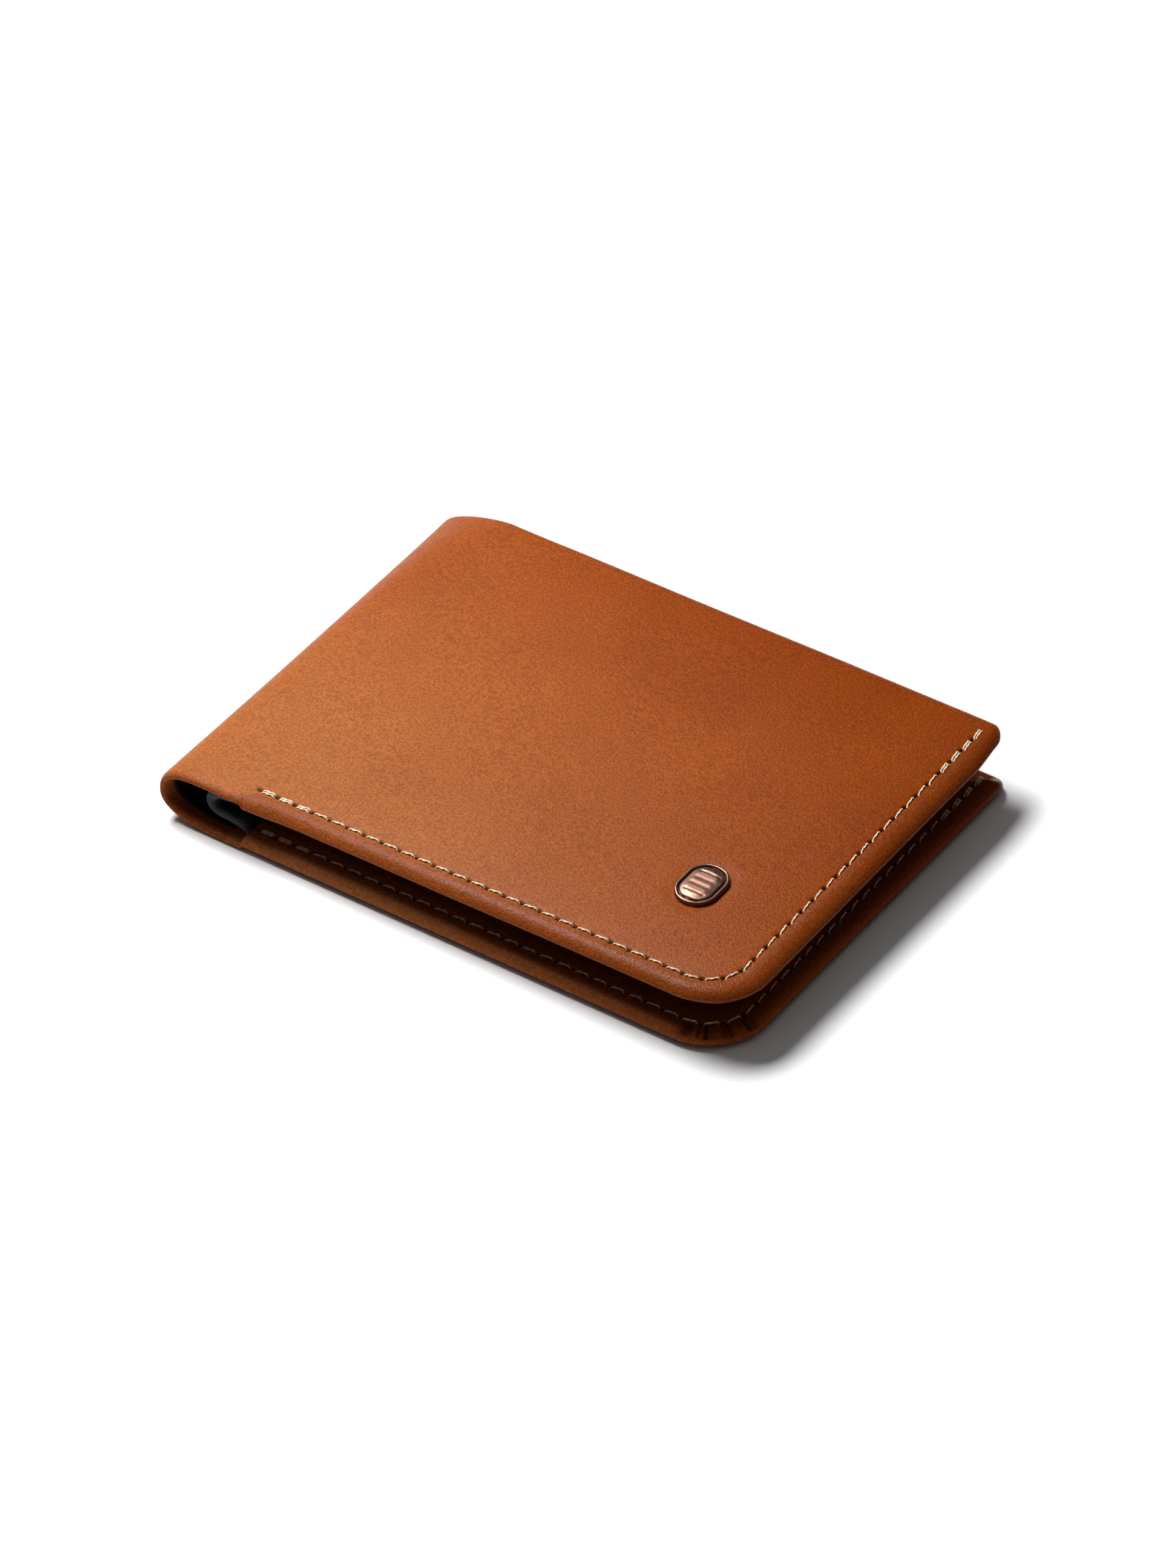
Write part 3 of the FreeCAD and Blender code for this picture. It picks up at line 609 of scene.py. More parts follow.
def leaf_face(shell, leaf, part, band_edge, depth):
    """Fills a leaf's face inside the hem band: a row that thins the stations out, then an even grid."""
    stations = STATIONS[::COARSE_STEP]
    x, y = outline(stations, INNER_LINE)
    line = np.stack([x, y], -1)
    near_middle, far_middle = NEAR_MIDDLE // COARSE_STEP, FAR_MIDDLE // COARSE_STEP
    rows = far_middle - near_middle + 1
    fold = np.stack([np.full(rows, JOIN_X), np.linspace(NEAR_Y + INNER_LINE, FAR_Y - INNER_LINE, rows)], -1)
    plan = coons(line[:near_middle + 1], line[near_middle:far_middle + 1], line[far_middle:][::-1], fold)
    shell.add_grid(leaf_point(leaf, plan[..., 0], plan[..., 1], depth), part)
    inner = shell.add_points(leaf_point(leaf, x, y, depth))
    outer = shell.add_points(band_edge)
    faces = []
    for index in range(len(stations) - 1):
        first = outer + index * COARSE_STEP
        fine = list(range(first, first + COARSE_STEP + 1))
        faces.append(fine + [inner + index + 1, inner + index])
    shell.add_faces(faces, part)
    return fold[:, 1]


def make_cover():
    """The outer leather: both leaves and the fold between them."""
    shell = Shell()
    for leaf, part in (("back", 0), ("front", 2)):
        band, marks = hem_band(leaf)
        shell.add_grid(band, part, marks)
        rows = leaf_face(shell, leaf, part, band[:, 0], 0.0)
        leaf_face(shell, leaf, part, band[:, -1], LEATHER)
    inset, depth = TURNED_CURVE[:, 0], TURNED_CURVE[:, 1]
    y = np.concatenate([NEAR_Y + inset, rows, (FAR_Y - inset)[::-1], rows[::-1]])
    inner = np.full(len(rows), LEATHER)
    depths = np.concatenate([depth, inner, depth[::-1], 0 * inner])
    # Painted shade: the inner faces of the fold and of its turned edges are darkened to black. The turned
    # rims and the fold's lower half keep the darker edge tone
    inside = smooth((inset - INSIDE_SHADE_START) / INSIDE_SHADE_FADE) * (np.arange(len(inset)) > HALF_INDEX)
    painted_shade = np.concatenate([inside, inner > 0, inside[::-1], inner < 0]) + 0 * FOLD_U[:, None]
    rim = smooth((RIM_INSET - inset) / RICH_FADE)
    rim = np.concatenate([rim, 0 * inner, rim[::-1], 0 * inner])
    marks = tone_marks(painted_shade, np.maximum(rim, smooth((FOLD_RICH_END - FOLD_U[:, None]) / FOLD_RICH_FADE)))
    shell.add_grid(fold_point(FOLD_U[:, None], y[None], depths[None]), FOLD_PARTS, marks, closed=True)
    names = ("back_cover_leather", "fold_leather", "front_cover_leather")
    blend_fold(split_layer(shell, "cover", names, leather_material()))


def blend_fold(pieces):
    """The three parts of a sheet that runs over the fold: each part's transform is baked into its points.
    The spans of its three hinges are worked out but not used.
    """
    turn = math.radians(FOLD_CUTS[0])
    centre = FOLD_CENTRE
    first = np.array([-math.cos(turn), math.sin(turn)])
    last = np.array([math.cos(turn), math.sin(turn)])
    middle = np.array([0.0, MIDDLE_BLEND / 2])
    end = centre - first * CUT_MARGIN
    start = centre + last * CUT_MARGIN
    spans = [
        ("back_leaf", "fold_strip_1", end - first * LEAF_BLEND, end),
        ("fold_strip_1", "fold_strip_2", centre - middle, centre + middle),
        ("fold_strip_2", "front_leaf", start, start + last * LEAF_BLEND)]
    for piece, (body, next_body, low, high) in zip(pieces, spans):
        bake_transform(piece)


# Thin sheets


def bevelled(values, bevel):
    """Adds a line close inside each end, so that a sheet's edge is soft."""
    return np.concatenate([[values[0], values[0] + bevel], values[1:-1], [values[-1] - bevel, values[-1]]])


def add_sheet(shell, place, columns, rows, depth, thickness, parts=0):
    """A closed thin sheet: place(column, row, depth) gives its points."""
    column, row = np.meshgrid(columns, rows, indexing="ij")
    inside = np.ones_like(column)
    inside[0, :] = inside[-1, :] = inside[:, 0] = inside[:, -1] = 0
    middle = depth + thickness / 2 + 0 * column
    half = thickness / 2 * inside
    shell.add_grid(place(column, row, middle - half), parts)
    shell.add_grid(place(column, row, middle + half), parts)


def cad_depth(leaf, node):
    """Depth of a CAD node's outer face and its thickness, squeezed as the leaf is."""
    low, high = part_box(node)
    outer = low.z if leaf == "back" else TOP_Z - high.z
    return outer * LEAF_SQUEEZE, (high.z - low.z) * LEAF_SQUEEZE


PANEL_STEP = 1.5 * MM
CORNER_LINES = 16
POCKET_LIP = 0.32 * MM
LIP_REACH = 1.1 * MM


def panel_columns(x_low, x_high, radius):
    """Even columns, closer together where the outline turns the near corner."""
    straight = np.linspace(x_low, x_high - radius, int((x_high - radius - x_low) / PANEL_STEP) + 2)
    angles = np.linspace(0, math.pi / 2, CORNER_LINES)[1:]
    return np.concatenate([straight, x_high - radius + radius * np.sin(angles)])


def make_panel(leaf, node, name, material, lip):
    """A flat inner layer of a leaf, with its near free corner rounded and its top edge lifted by lip."""
    low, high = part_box(node)
    depth, thickness = cad_depth(leaf, node)
    radius = NEAR_CORNER - (FREE_X - high.x)

    def place(x, share, h):
        past = np.clip(x - (high.x - radius), 0, radius)
        bottom = low.y + radius - np.sqrt(np.maximum(radius ** 2 - past ** 2, 0))
        y = bottom + share * (high.y - bottom)
        lifted = lip * bell(high.y - y, LIP_REACH)
        return leaf_point(leaf, x, y, h + lifted)

    height = high.y - low.y
    bevel = thickness / 2
    columns = bevelled(panel_columns(max(low.x, JOIN_X), high.x, radius), bevel)
    lines = np.linspace(0, 1 - 3 * LIP_REACH / height, int(height / PANEL_STEP) + 2)
    lines = np.concatenate([lines, 1 - np.linspace(3 * LIP_REACH, 0, 14)[1:] / height])
    shell = Shell()
    add_sheet(shell, place, columns, bevelled(lines, bevel / height), depth, thickness)
    piece = add_object(name, shell.weld(name), material)
    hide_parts(node)
    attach(piece, f"{leaf}_leaf")
    return piece


def make_card_layers():
    panel = panel_material()
    board = board_material()
    for leaf in LEAVES:
        make_panel(leaf, f"{leaf}_reinforcement", f"{leaf}_board", board, 0.0)
        make_panel(leaf, f"{leaf}_card_backing", f"{leaf}_backing_leather", panel, 0.0)
        for level in ("upper", "middle", "lower"):
            node = f"{leaf}_card_pocket_{level}"
            make_panel(leaf, node, f"{leaf}_pocket_{level}_leather", panel, POCKET_LIP)


LINING_INSET = 6.6 * MM
LINING_FREE = 2.6 * MM
LINING_DEPTH = 0.90 * MM
LINING_THICKNESS = 0.16 * MM
LINING_RUN = 8


def make_lining():
    """Cloth lining of both leaves and the fold, one sheet in three parts."""
    run = np.linspace(1, 0, LINING_RUN)[:-1]
    columns = np.concatenate([-run, FOLD_U, 3 + run[::-1]])
    parts = np.concatenate([np.zeros(len(run), int), FOLD_PARTS, np.full(len(run), 2)])
    parts = np.concatenate([[0], parts, [2]])
    reach = FREE_X - LINING_FREE - JOIN_X

    def place(u, y, h):
        back = leaf_point("back", JOIN_X - np.minimum(u, 0) * reach, y, h)
        front = leaf_point("front", JOIN_X + np.maximum(u - 3, 0) * reach, y, h)
        fold = fold_point(np.clip(u, 0, 3), y, h)
        return np.where((u < 0)[..., None], back, np.where((u > 3)[..., None], front, fold))

    rows = np.linspace(NEAR_Y + LINING_INSET, FAR_Y - LINING_INSET, 40)
    shell = Shell()
    add_sheet(shell, place, bevelled(columns, 0.002), bevelled(rows, LINING_THICKNESS / 2),
              LINING_DEPTH, LINING_THICKNESS, parts)
    names = ("back_lining_cloth", "fold_lining_cloth", "front_lining_cloth")
    pieces = split_layer(shell, "lining", names, lining_material())
    blend_fold(pieces)
    bend = fold_point(FOLD_U, 0.0, LINING_DEPTH)
    steps = np.linalg.norm(np.diff(bend, axis=0), axis=1)
    for leaf, part in (("back", 0), ("front", 2)):
        length = reach + steps[FOLD_PARTS == part].sum()


# The divider's own fold, in mm from the cover's outermost line and from the floor: its middle line
DIVIDER_LINE = [
    (24.0, 1.42), (18.6, 1.5), (15.6, 3.1), (12.6, 3.72), (10.6, 3.9), (9.35, 4.6), (8.85, 5.8),
    (9.5, 7.0), (10.8, 7.65), (12.8, 7.95), (15.6, 8.6), (18.6, 9.5), (24.0, 9.62)]
DIVIDER_STEPS = 7
DIVIDER_ROWS = 60
DIVIDER_EDGE_LINES = 7
DIVIDER_PADDED_END = 19.5 * MM
DIVIDER_PADDED_FADE = 5 * MM
DIVIDER_LEAN = 8 * MM
# Painted shade on the divider: how far in from its near and far edges it starts, and over what width it
# fades in
DIVIDER_SHADE_INSET = 0.7 * MM
DIVIDER_SHADE_FADE = 0.8 * MM
DIVIDER_LOWER_CUT = 11.6 * MM
DIVIDER_UPPER_CUT = 11.8 * MM
DIVIDER_THIN = 0.2 * MM
DIVIDER_THICK = 1.75 * MM
DIVIDER_NEAR = 2.3 * MM
DIVIDER_FAR = 3.0 * MM
DIVIDER_DEPTH = 1.33 * MM
DIVIDER_FREE = 15.6 * MM
DIVIDER_RUN_IN = 4.0 * MM


def make_divider():
    """The note divider: a soft padded sheet with a loose fold of its own."""
    line = spline(DIVIDER_LINE, DIVIDER_STEPS) * MM + np.array([FOLD_X, 0.0])
    way = np.gradient(line, axis=0)
    way = way / np.linalg.norm(way, axis=1)[:, None]
    lean = (line[:, 1] > FOLD_RADIUS) * smooth((line[:, 0] - FOLD_X - DIVIDER_LEAN) / DIVIDER_LEAN)
    count = len(line)
    padding = smooth((FOLD_X + DIVIDER_PADDED_END - line[:, 0]) / DIVIDER_PADDED_FADE)
    thickness = DIVIDER_THIN + (DIVIDER_THICK - DIVIDER_THIN) * padding
    index = np.arange(count)

    def place(u, y, h):
        x = np.interp(u, index, line[:, 0])
        z = np.interp(u, index, line[:, 1])
        nx = np.interp(u, index, way[:, 1])
        nz = np.interp(u, index, -way[:, 0])
        across = (y - NEAR_Y) / (FAR_Y - NEAR_Y)
        z = z + FRONT_RISE_ACROSS * across * np.interp(u, index, lean)
        held = smooth((x - FOLD_X - DIVIDER_FREE) / DIVIDER_RUN_IN)
        front = leaf_height("front", x, y, DIVIDER_DEPTH)
        z = z + held * (np.where(z > FOLD_RADIUS, front, DIVIDER_DEPTH) - z)
        return np.stack([x + nx * h, y, z + nz * h], -1)

    rows = np.linspace(NEAR_Y + DIVIDER_NEAR, FAR_Y - DIVIDER_FAR, DIVIDER_ROWS)
    half = DIVIDER_THICK / 2
    rim = half * (1 - np.cos(np.linspace(0, math.pi / 2, DIVIDER_EDGE_LINES)[:-1]))
    rows = np.concatenate([rows[0] + rim, rows[2:-2], rows[-1] - rim[::-1]])
    edge = np.minimum(rows - rows[0], rows[-1] - rows)
    column, row = np.meshgrid(index.astype(float), rows, indexing="ij")
    local = thickness[:, None] / 2 * quarter_round(edge / half)[None]
    local[0], local[-1] = 0, 0
    lower_cut = int(np.argmax(line[:, 0] < FOLD_X + DIVIDER_LOWER_CUT))
    upper_cut = count - 1 - int(np.argmax(line[::-1, 0] < FOLD_X + DIVIDER_UPPER_CUT))
    parts = np.where(index[:-1] < lower_cut, 0, np.where(index[:-1] < upper_cut, 1, 2))
    shell = Shell()
    # Painted shade: one face of the divider is darkened to near black, all but a strip along its near and
    # far edges
    hidden = smooth((edge - DIVIDER_SHADE_INSET) / DIVIDER_SHADE_FADE)[None] * np.ones((count, 1))
    shell.add_grid(place(column, row, local), parts, hidden)
    shell.add_grid(place(column, row, -local), parts)
    names = ("back_divider_cloth", "fold_divider_cloth", "front_divider_cloth")
    pieces = split_layer(shell, "divider", names, divider_material())
    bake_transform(pieces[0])
    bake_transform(pieces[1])
    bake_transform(pieces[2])


# Stitches

STRAND = 0.12 * MM
STRAND_OFFSET = 0.07 * MM
STRAND_TURNS = 1.1
STITCH_SHARE = 0.7
SLANT = 0.15 * MM
DOUBLED = 3
DOUBLE_GAP = 0.32 * MM
THREAD_SAMPLES = 15
STRAND_SIDES = 6
INNER_FACE = 3.0 * MM
THREAD_DIVE = 0.7 * MM
THREAD_WANDER = 0.02 * MM
OUTER_RAISE = 0.04 * MM
SEAM_RAISE = 0.12 * MM
SEAM_DIVE = 0.5 * MM
SEAM_START = 7.5 * MM
SEAM_END = 1.2 * MM


def stitch_line(run, inset, side):
    """X and Y on a stitch line of the hem, shifted to the side, towards the edge."""
    inset = inset - side
    radius = NEAR_CORNER - inset
    turn_x, turn_y = FREE_X - NEAR_CORNER, NEAR_Y + NEAR_CORNER
    angle = np.clip((run - NEAR_RUN) / CORNER_RUN, 0, 1) * math.pi / 2
    past = np.maximum(run - NEAR_RUN - CORNER_RUN, 0)
    x = np.where(run < NEAR_RUN, STITCH_X + run, turn_x + radius * np.sin(angle))
    y = np.where(run < NEAR_RUN, NEAR_Y + inset, turn_y - radius * np.cos(angle) + past)
    return x, y


def strands(paths):
    """Two twisted plies along each path: (paths, samples, 3) to (tubes, samples, sides, 3)."""
    way = np.gradient(paths, axis=1)
    way /= np.linalg.norm(way, axis=2)[..., None]
    side = np.cross(way, [0, 0, 1.0])
    side /= np.linalg.norm(side, axis=2)[..., None]
    up = np.cross(side, way)
    twist = np.linspace(0, 2 * math.pi * STRAND_TURNS, paths.shape[1])[None, :, None]
    ring = np.linspace(0, 2 * math.pi, STRAND_SIDES, endpoint=False)
    tubes = []
    for ply in range(2):
        angle = twist + ply * math.pi
        centre = paths + STRAND_OFFSET * (side * np.cos(angle) + up * np.sin(angle))
        around = (side[:, :, None] * np.cos(ring)[:, None] + up[:, :, None] * np.sin(ring)[:, None])
        tubes.append(centre[:, :, None] + STRAND * around)
    return np.concatenate(tubes)


def hem_paths(leaf, inset, middle, ends, rng):
    """Centre lines of the stitches on one face: middle and ends are their depths."""
    t = np.linspace(0, 1, THREAD_SAMPLES)[None]
    doubled = list(range(DOUBLED)) + list(range(STITCHES - DOUBLED - 1, STITCHES))
    numbers = np.concatenate([np.arange(STITCHES), doubled])
    shift = np.zeros(len(numbers))
    shift[STITCHES:] = DOUBLE_GAP
    shift[doubled] = -DOUBLE_GAP / 2
    start = numbers[:, None] + (1 - STITCH_SHARE) / 2 + rng.normal(0, 0.012, (len(numbers), 1))
    run = (start + STITCH_SHARE * t) * PITCH
    slant = SLANT + rng.normal(0, THREAD_WANDER, (len(numbers), 1))
    side = shift[:, None] + slant * (1 - 2 * t)
    x, y = stitch_line(run, inset, side)
    dive = np.abs(2 * t - 1) ** 10
    depth = middle + (ends - middle) * dive + rng.normal(0, THREAD_WANDER, (len(numbers), 1))
    return leaf_point(leaf, x, y, depth)


def seam_paths(leaf, rng):
    """Stitches beside the fold that close the card pockets."""
    node = f"{leaf}_card_pocket_lower"
    depth, thickness = cad_depth(leaf, node)
    first = NEAR_Y + SEAM_START
    count = int((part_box(node)[1].y - SEAM_END - first) / PITCH)
    t = np.linspace(0, 1, THREAD_SAMPLES)[None]
    run = (np.arange(count)[:, None] + (1 - STITCH_SHARE) / 2 + STITCH_SHARE * t) * PITCH
    x = STITCH_X + SLANT * (2 * t - 1) + rng.normal(0, THREAD_WANDER, (count, 1))
    dive = np.abs(2 * t - 1) ** 5
    face = depth + thickness + SEAM_RAISE - SEAM_DIVE * dive
    return leaf_point(leaf, x, first + run, face)


def make_stitching():
    rng = np.random.default_rng(7)
    material = thread_material()
    for leaf in LEAVES:
        paths = np.concatenate([
            hem_paths(leaf, OUTER_STITCH_INSET, -OUTER_RAISE, THREAD_DIVE, rng),
            hem_paths(leaf, INNER_STITCH_INSET, INNER_FACE, INNER_FACE - THREAD_DIVE, rng),
            seam_paths(leaf, rng)])
        tubes = strands(paths)
        count, samples, sides = tubes.shape[:3]
        index = np.arange(count * samples * sides).reshape(count, samples, sides)
        around = np.roll(index, -1, axis=2)
        quads = np.stack([index[:, :-1], index[:, 1:], around[:, 1:], around[:, :-1]], -1)
        faces = quads.reshape(-1, 4).tolist()
        faces += index[:, 0, ::-1].tolist() + index[:, -1].tolist()
        name = f"{leaf}_thread"
        mesh = bpy.data.meshes.new(name)
        mesh.from_pydata(tubes.reshape(-1, 3).tolist(), [], faces)
        mesh.polygons.foreach_set("use_smooth", np.ones(len(mesh.polygons), bool))
        piece = add_object(name, mesh, material)
        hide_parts(f"{leaf}_stitching")
        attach(piece, f"{leaf}_leaf")


# Badge

BADGE_RINGS = 40
BADGE_ARC = 28
BADGE_STRAIGHT = 8
BADGE_ROOT = 0.35 * MM
BADGE_THICKNESS = 0.75 * MM
BADGE_RIM = 0.55 * MM
BADGE_GROOVE = 0.30 * MM
BADGE_DOME = 0.24 * MM
BADGE_DOME_RUN = 1.6 * MM
BADGE_STEP = 0.06 * MM
BADGE_WALL = 0.62
BADGE_ROUNDING = 0.4 * MM
GROOVE_INSET = 0.2 * MM
GROOVE_HALF = 0.17 * MM
RIBS = 4
RIB_PITCH = 1.7 * MM
RIB_DEPTH = 0.16 * MM
RIB_HALF = 0.16 * MM
RIB_MARGIN = 1.1 * MM
RIB_FADE = 0.5 * MM


def badge_outline():
    """The outline of the tablet about its centre, and the nearest point of its middle line."""
    half_width = (BADGE_HIGH.x - BADGE_LOW.x) / 2
    straight = (BADGE_HIGH.y - BADGE_LOW.y) / 2 - half_width
    top = np.linspace(0, math.pi, BADGE_ARC + 1)
    side = np.linspace(straight, -straight, BADGE_STRAIGHT + 1)[1:-1]
    cap = np.stack([half_width * np.cos(top), straight + half_width * np.sin(top)], -1)
    left = np.stack([np.full(len(side), -half_width), side], -1)
    edge = np.concatenate([cap, left, -cap, -left])
    spine = np.stack([0 * edge[:, 0], np.clip(edge[:, 1], -straight, straight)], -1)
    return edge, spine, half_width


def badge_height(distance, x, y, half_width):
    """Height above the leather, and how dark the antiquing is, by the distance in from the edge."""
    crown = BADGE_THICKNESS * (BADGE_WALL + (1 - BADGE_WALL) * quarter_round(distance / BADGE_ROUNDING))
    inner = distance - BADGE_RIM - GROOVE_INSET
    groove = bell(inner, GROOVE_HALF)
    dome = BADGE_DOME * smooth(inner / BADGE_DOME_RUN) - BADGE_STEP * (inner > 0)
    phase = (y / RIB_PITCH + RIBS / 2) % 1 - 0.5
    width = half_width - BADGE_RIM - RIB_MARGIN
    reach = smooth((width - np.abs(x)) / RIB_FADE) * (np.abs(y) < (RIBS - 1) * RIB_PITCH)
    rib = bell(phase * RIB_PITCH, RIB_HALF) * reach
    height = crown - BADGE_GROOVE * groove + dome - RIB_DEPTH * rib
    return height, np.clip(groove + 0.8 * rib, 0, 1)


def make_badge():
    """A generic copper tablet with a raised rim and plain engraved bars."""
    edge, spine, half_width = badge_outline()
    share = np.linspace(0, 1, BADGE_RINGS)[:, None, None]
    plan = spine[None] + (edge - spine)[None] * share
    distance = half_width * (1 - share[..., 0]) + 0 * plan[..., 0]
    height, mark = badge_height(distance, plan[..., 0], plan[..., 1], half_width)
    x, y = plan[..., 0] + BADGE_CENTRE.x, plan[..., 1] + BADGE_CENTRE.y
    base = top_height(BADGE_CENTRE.x, y) + SEAT_DEPTH * 0.5
    face = np.stack([x, y, base + height], -1)
    wall_height = np.linspace(1, 0, 6)[:, None]
    wall = np.stack([x[-1] + 0 * wall_height, y[-1] + 0 * wall_height,
                     base[-1] + height[-1] * wall_height - BADGE_ROOT * (1 - wall_height)], -1)
    floor = face[:1].copy()
    floor[..., 2] = base[:1] - BADGE_ROOT
    bottom = np.concatenate([wall[-1:], floor])
    shell = Shell()
    shell.add_grid(face, marks=mark, closed=True)
    shell.add_grid(wall, closed=True)
    shell.add_grid(bottom, closed=True)
    piece = add_object("badge_metal", shell.weld("badge_metal"), badge_material())
    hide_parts("badge")
    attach(piece, "front_leaf")


def make_washer():
    """The plate that the badge's prongs are clinched over, hidden behind the leather."""
    low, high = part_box("badge_washer")
    depth, thickness = cad_depth("front", "badge_washer")
    shell = Shell()
    bevel = thickness / 3
    columns = bevelled(np.linspace(low.x, high.x, 5), bevel)
    rows = bevelled(np.linspace(low.y, high.y, 9), bevel)
    add_sheet(shell, partial(leaf_point, "front"), columns, rows, depth, thickness)
    name = "badge_washer_steel"
    piece = add_object(name, shell.weld(name), steel_material())
    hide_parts("badge_washer")
    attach(piece, "front_leaf")


# Materials


class Nodes:
    """A material's node tree, with short calls for what the materials below share."""

    def __init__(self, name):
        self.material = bpy.data.materials.new(name)
        self.material.use_nodes = True
        self.tree = self.material.node_tree
        self.shader = self.tree.nodes["Principled BSDF"]
        self.place = self.node("TexCoord").outputs["Object"]

    def feed(self, socket, value):
        """Links a socket to another node's output, or sets it to a number, a vector or a colour."""
        if hasattr(value, "node"):
            self.tree.links.new(value, socket)
        elif socket.type == "RGBA":
            socket.default_value = (*value, 1.0)
        else:
            socket.default_value = value

    def node(self, kind, inputs=None, **settings):
        made = self.tree.nodes.new(f"ShaderNode{kind}")
        for key, value in settings.items():
            setattr(made, key, value)
        for name, value in (inputs or {}).items():
            self.feed(made.inputs[name], value)
        return made

    def noise(self, size, detail=3.0, roughness=0.5, distortion=0.0, place=None):
        inputs = {"Scale": 1 / size, "Detail": detail, "Roughness": roughness, "Distortion": distortion,
                  "Vector": place or self.place}
        return self.node("TexNoise", inputs).outputs["Fac"]

    def cells(self, size):
        made = self.node("TexVoronoi", {"Scale": 1 / size, "Vector": self.place}, feature="SMOOTH_F1")
        return made.outputs["Distance"]

    def spread(self, value, low, high, from_low=0.0, from_high=1.0):
        inputs = {"Value": value, "From Min": from_low, "From Max": from_high, "To Min": low,
                  "To Max": high}
        return self.node("MapRange", inputs).outputs["Result"]

    def ramp(self, slope):
        """A value that grows by slope for each metre along X and Y."""
        made = self.node("VectorMath", {0: self.place, 1: (*slope, 0.0)}, operation="DOT_PRODUCT")
        return made.outputs["Value"]

    def sum(self, first, second):
        made = self.node("Math", {0: first, 1: second}, operation="ADD", use_clamp=True)
        return made.outputs["Value"]

    def mix(self, factor, first, second, blend="MIX"):
        inputs = {0: factor, 6: first, 7: second}
        return self.node("Mix", inputs, data_type="RGBA", blend_type=blend).outputs[2]

    def mark(self):
        return self.node("Attribute", attribute_name="mark").outputs["Fac"]

    def bump(self, height, distance, strength=1.0, below=None):
        made = self.node("Bump", {"Distance": distance, "Strength": strength, "Height": height})
        if below is not None:
            self.feed(made.inputs["Normal"], below)
        return made.outputs["Normal"]

    def set(self, **values):
        for name, value in values.items():
            self.feed(self.shader.inputs[name.replace("_", " ")], value)


# How fast, per metre along X and Y, the leather darkens towards the free and far edges (painted shade for
# the light's falloff), its polish grows, and its face pales towards the fold and the near edge (a painted
# sheen)
FALLOFF_SHADE = (2.75, 7.0)
POLISHING = (6.5, 1.5)
SHEEN_PALING = (-8.0, -8.0)


def leather(name, edge, rich, pale, deep, painted_shade):
    """Smooth tanned leather: soft random colour changes, pores and fine wrinkles, with painted shade in the
    stitch holes, grooves, pleats and inner faces and across the face towards the free and far edges, and a
    painted sheen that pales it towards the fold and the near edge.
    """
    nodes = Nodes(name)
    # Painted shade: the face darkens towards the free and far edges, where the light falls off. Painted
    # sheen: it pales towards the fold and the near edge
    tone = nodes.ramp(FALLOFF_SHADE)
    painted_sheen = nodes.spread(nodes.ramp(SHEEN_PALING), 0.0, 1.0, -0.5, 0.5)
    drift_and_shade = nodes.spread(nodes.noise(30 * MM, 3.0), 0.2, 0.5, 0.3, 0.7)
    drift_and_shade = nodes.sum(drift_and_shade, tone)
    mottle = nodes.spread(nodes.noise(2.4 * MM, 4.0, 0.6), 0.0, 1.0, 0.3, 0.7)
    speck = nodes.spread(nodes.noise(0.42 * MM, 1.0, 0.5), 0.0, 1.0, 0.38, 0.62)
    kept = nodes.spread(nodes.mark(), 0.0, 1.0, -1.0, 0.0)
    face = nodes.mix(painted_sheen, rich, pale)
    colour = nodes.mix(drift_and_shade, nodes.mix(kept, edge, face), deep)
    colour = nodes.mix(nodes.spread(mottle, 0.0, 0.16), colour, deep)
    # The grain's specks also take the painted shade's dark colour
    colour = nodes.mix(nodes.spread(speck, 0.0, 0.36), colour, painted_shade)
    # Painted shade where the mark is above 0
    colour = nodes.mix(nodes.mark(), colour, painted_shade)
    pores = nodes.cells(0.36 * MM)
    grain = nodes.noise(0.3 * MM, 3.0, 0.55)
    stretched = nodes.node("Mapping", {"Scale": (1.0, 0.3, 0.6), "Vector": nodes.place}).outputs["Vector"]
    wrinkle = nodes.noise(0.6 * MM, 3.0, 0.6, 0.3, stretched)
    normal = nodes.bump(wrinkle, 0.06 * MM, 0.4)
    normal = nodes.bump(pores, 0.07 * MM, 0.8, normal)
    normal = nodes.bump(grain, 0.09 * MM, 1.0, normal)
    worn = nodes.spread(nodes.ramp(POLISHING), 0.50, 0.26, -0.35, 0.35)
    roughness = nodes.sum(worn, nodes.spread(mottle, -0.03, 0.03))
    roughness = nodes.sum(roughness, nodes.spread(kept, -0.12, 0.0))
    nodes.set(Base_Color=colour, Roughness=roughness, Normal=normal)
    nodes.set(Specular_IOR_Level=0.065)
    return nodes.material


def leather_material():
    # edge is the darker tone of hems and rims; pale is a painted sheen's tint, laid on the face towards the
    # fold and the near edge; the last colour is the painted shade's
    edge, rich, pale = (0.200, 0.045, 0.006), (0.278, 0.053, 0.0017), (0.268, 0.080, 0.017)
    return leather("caramel leather", edge, rich, pale, (0.145, 0.0225, 0.0017), (0.012, 0.003, 0.0015))


def panel_material():
    # As above: pale is the painted sheen's tint, the last colour the painted shade's
    edge, rich, pale = (0.2, 0.05, 0.008), (0.22, 0.046, 0.002), (0.22, 0.065, 0.015)
    return leather("panel leather", edge, rich, pale, (0.13, 0.022, 0.0018), (0.012, 0.003, 0.0015))


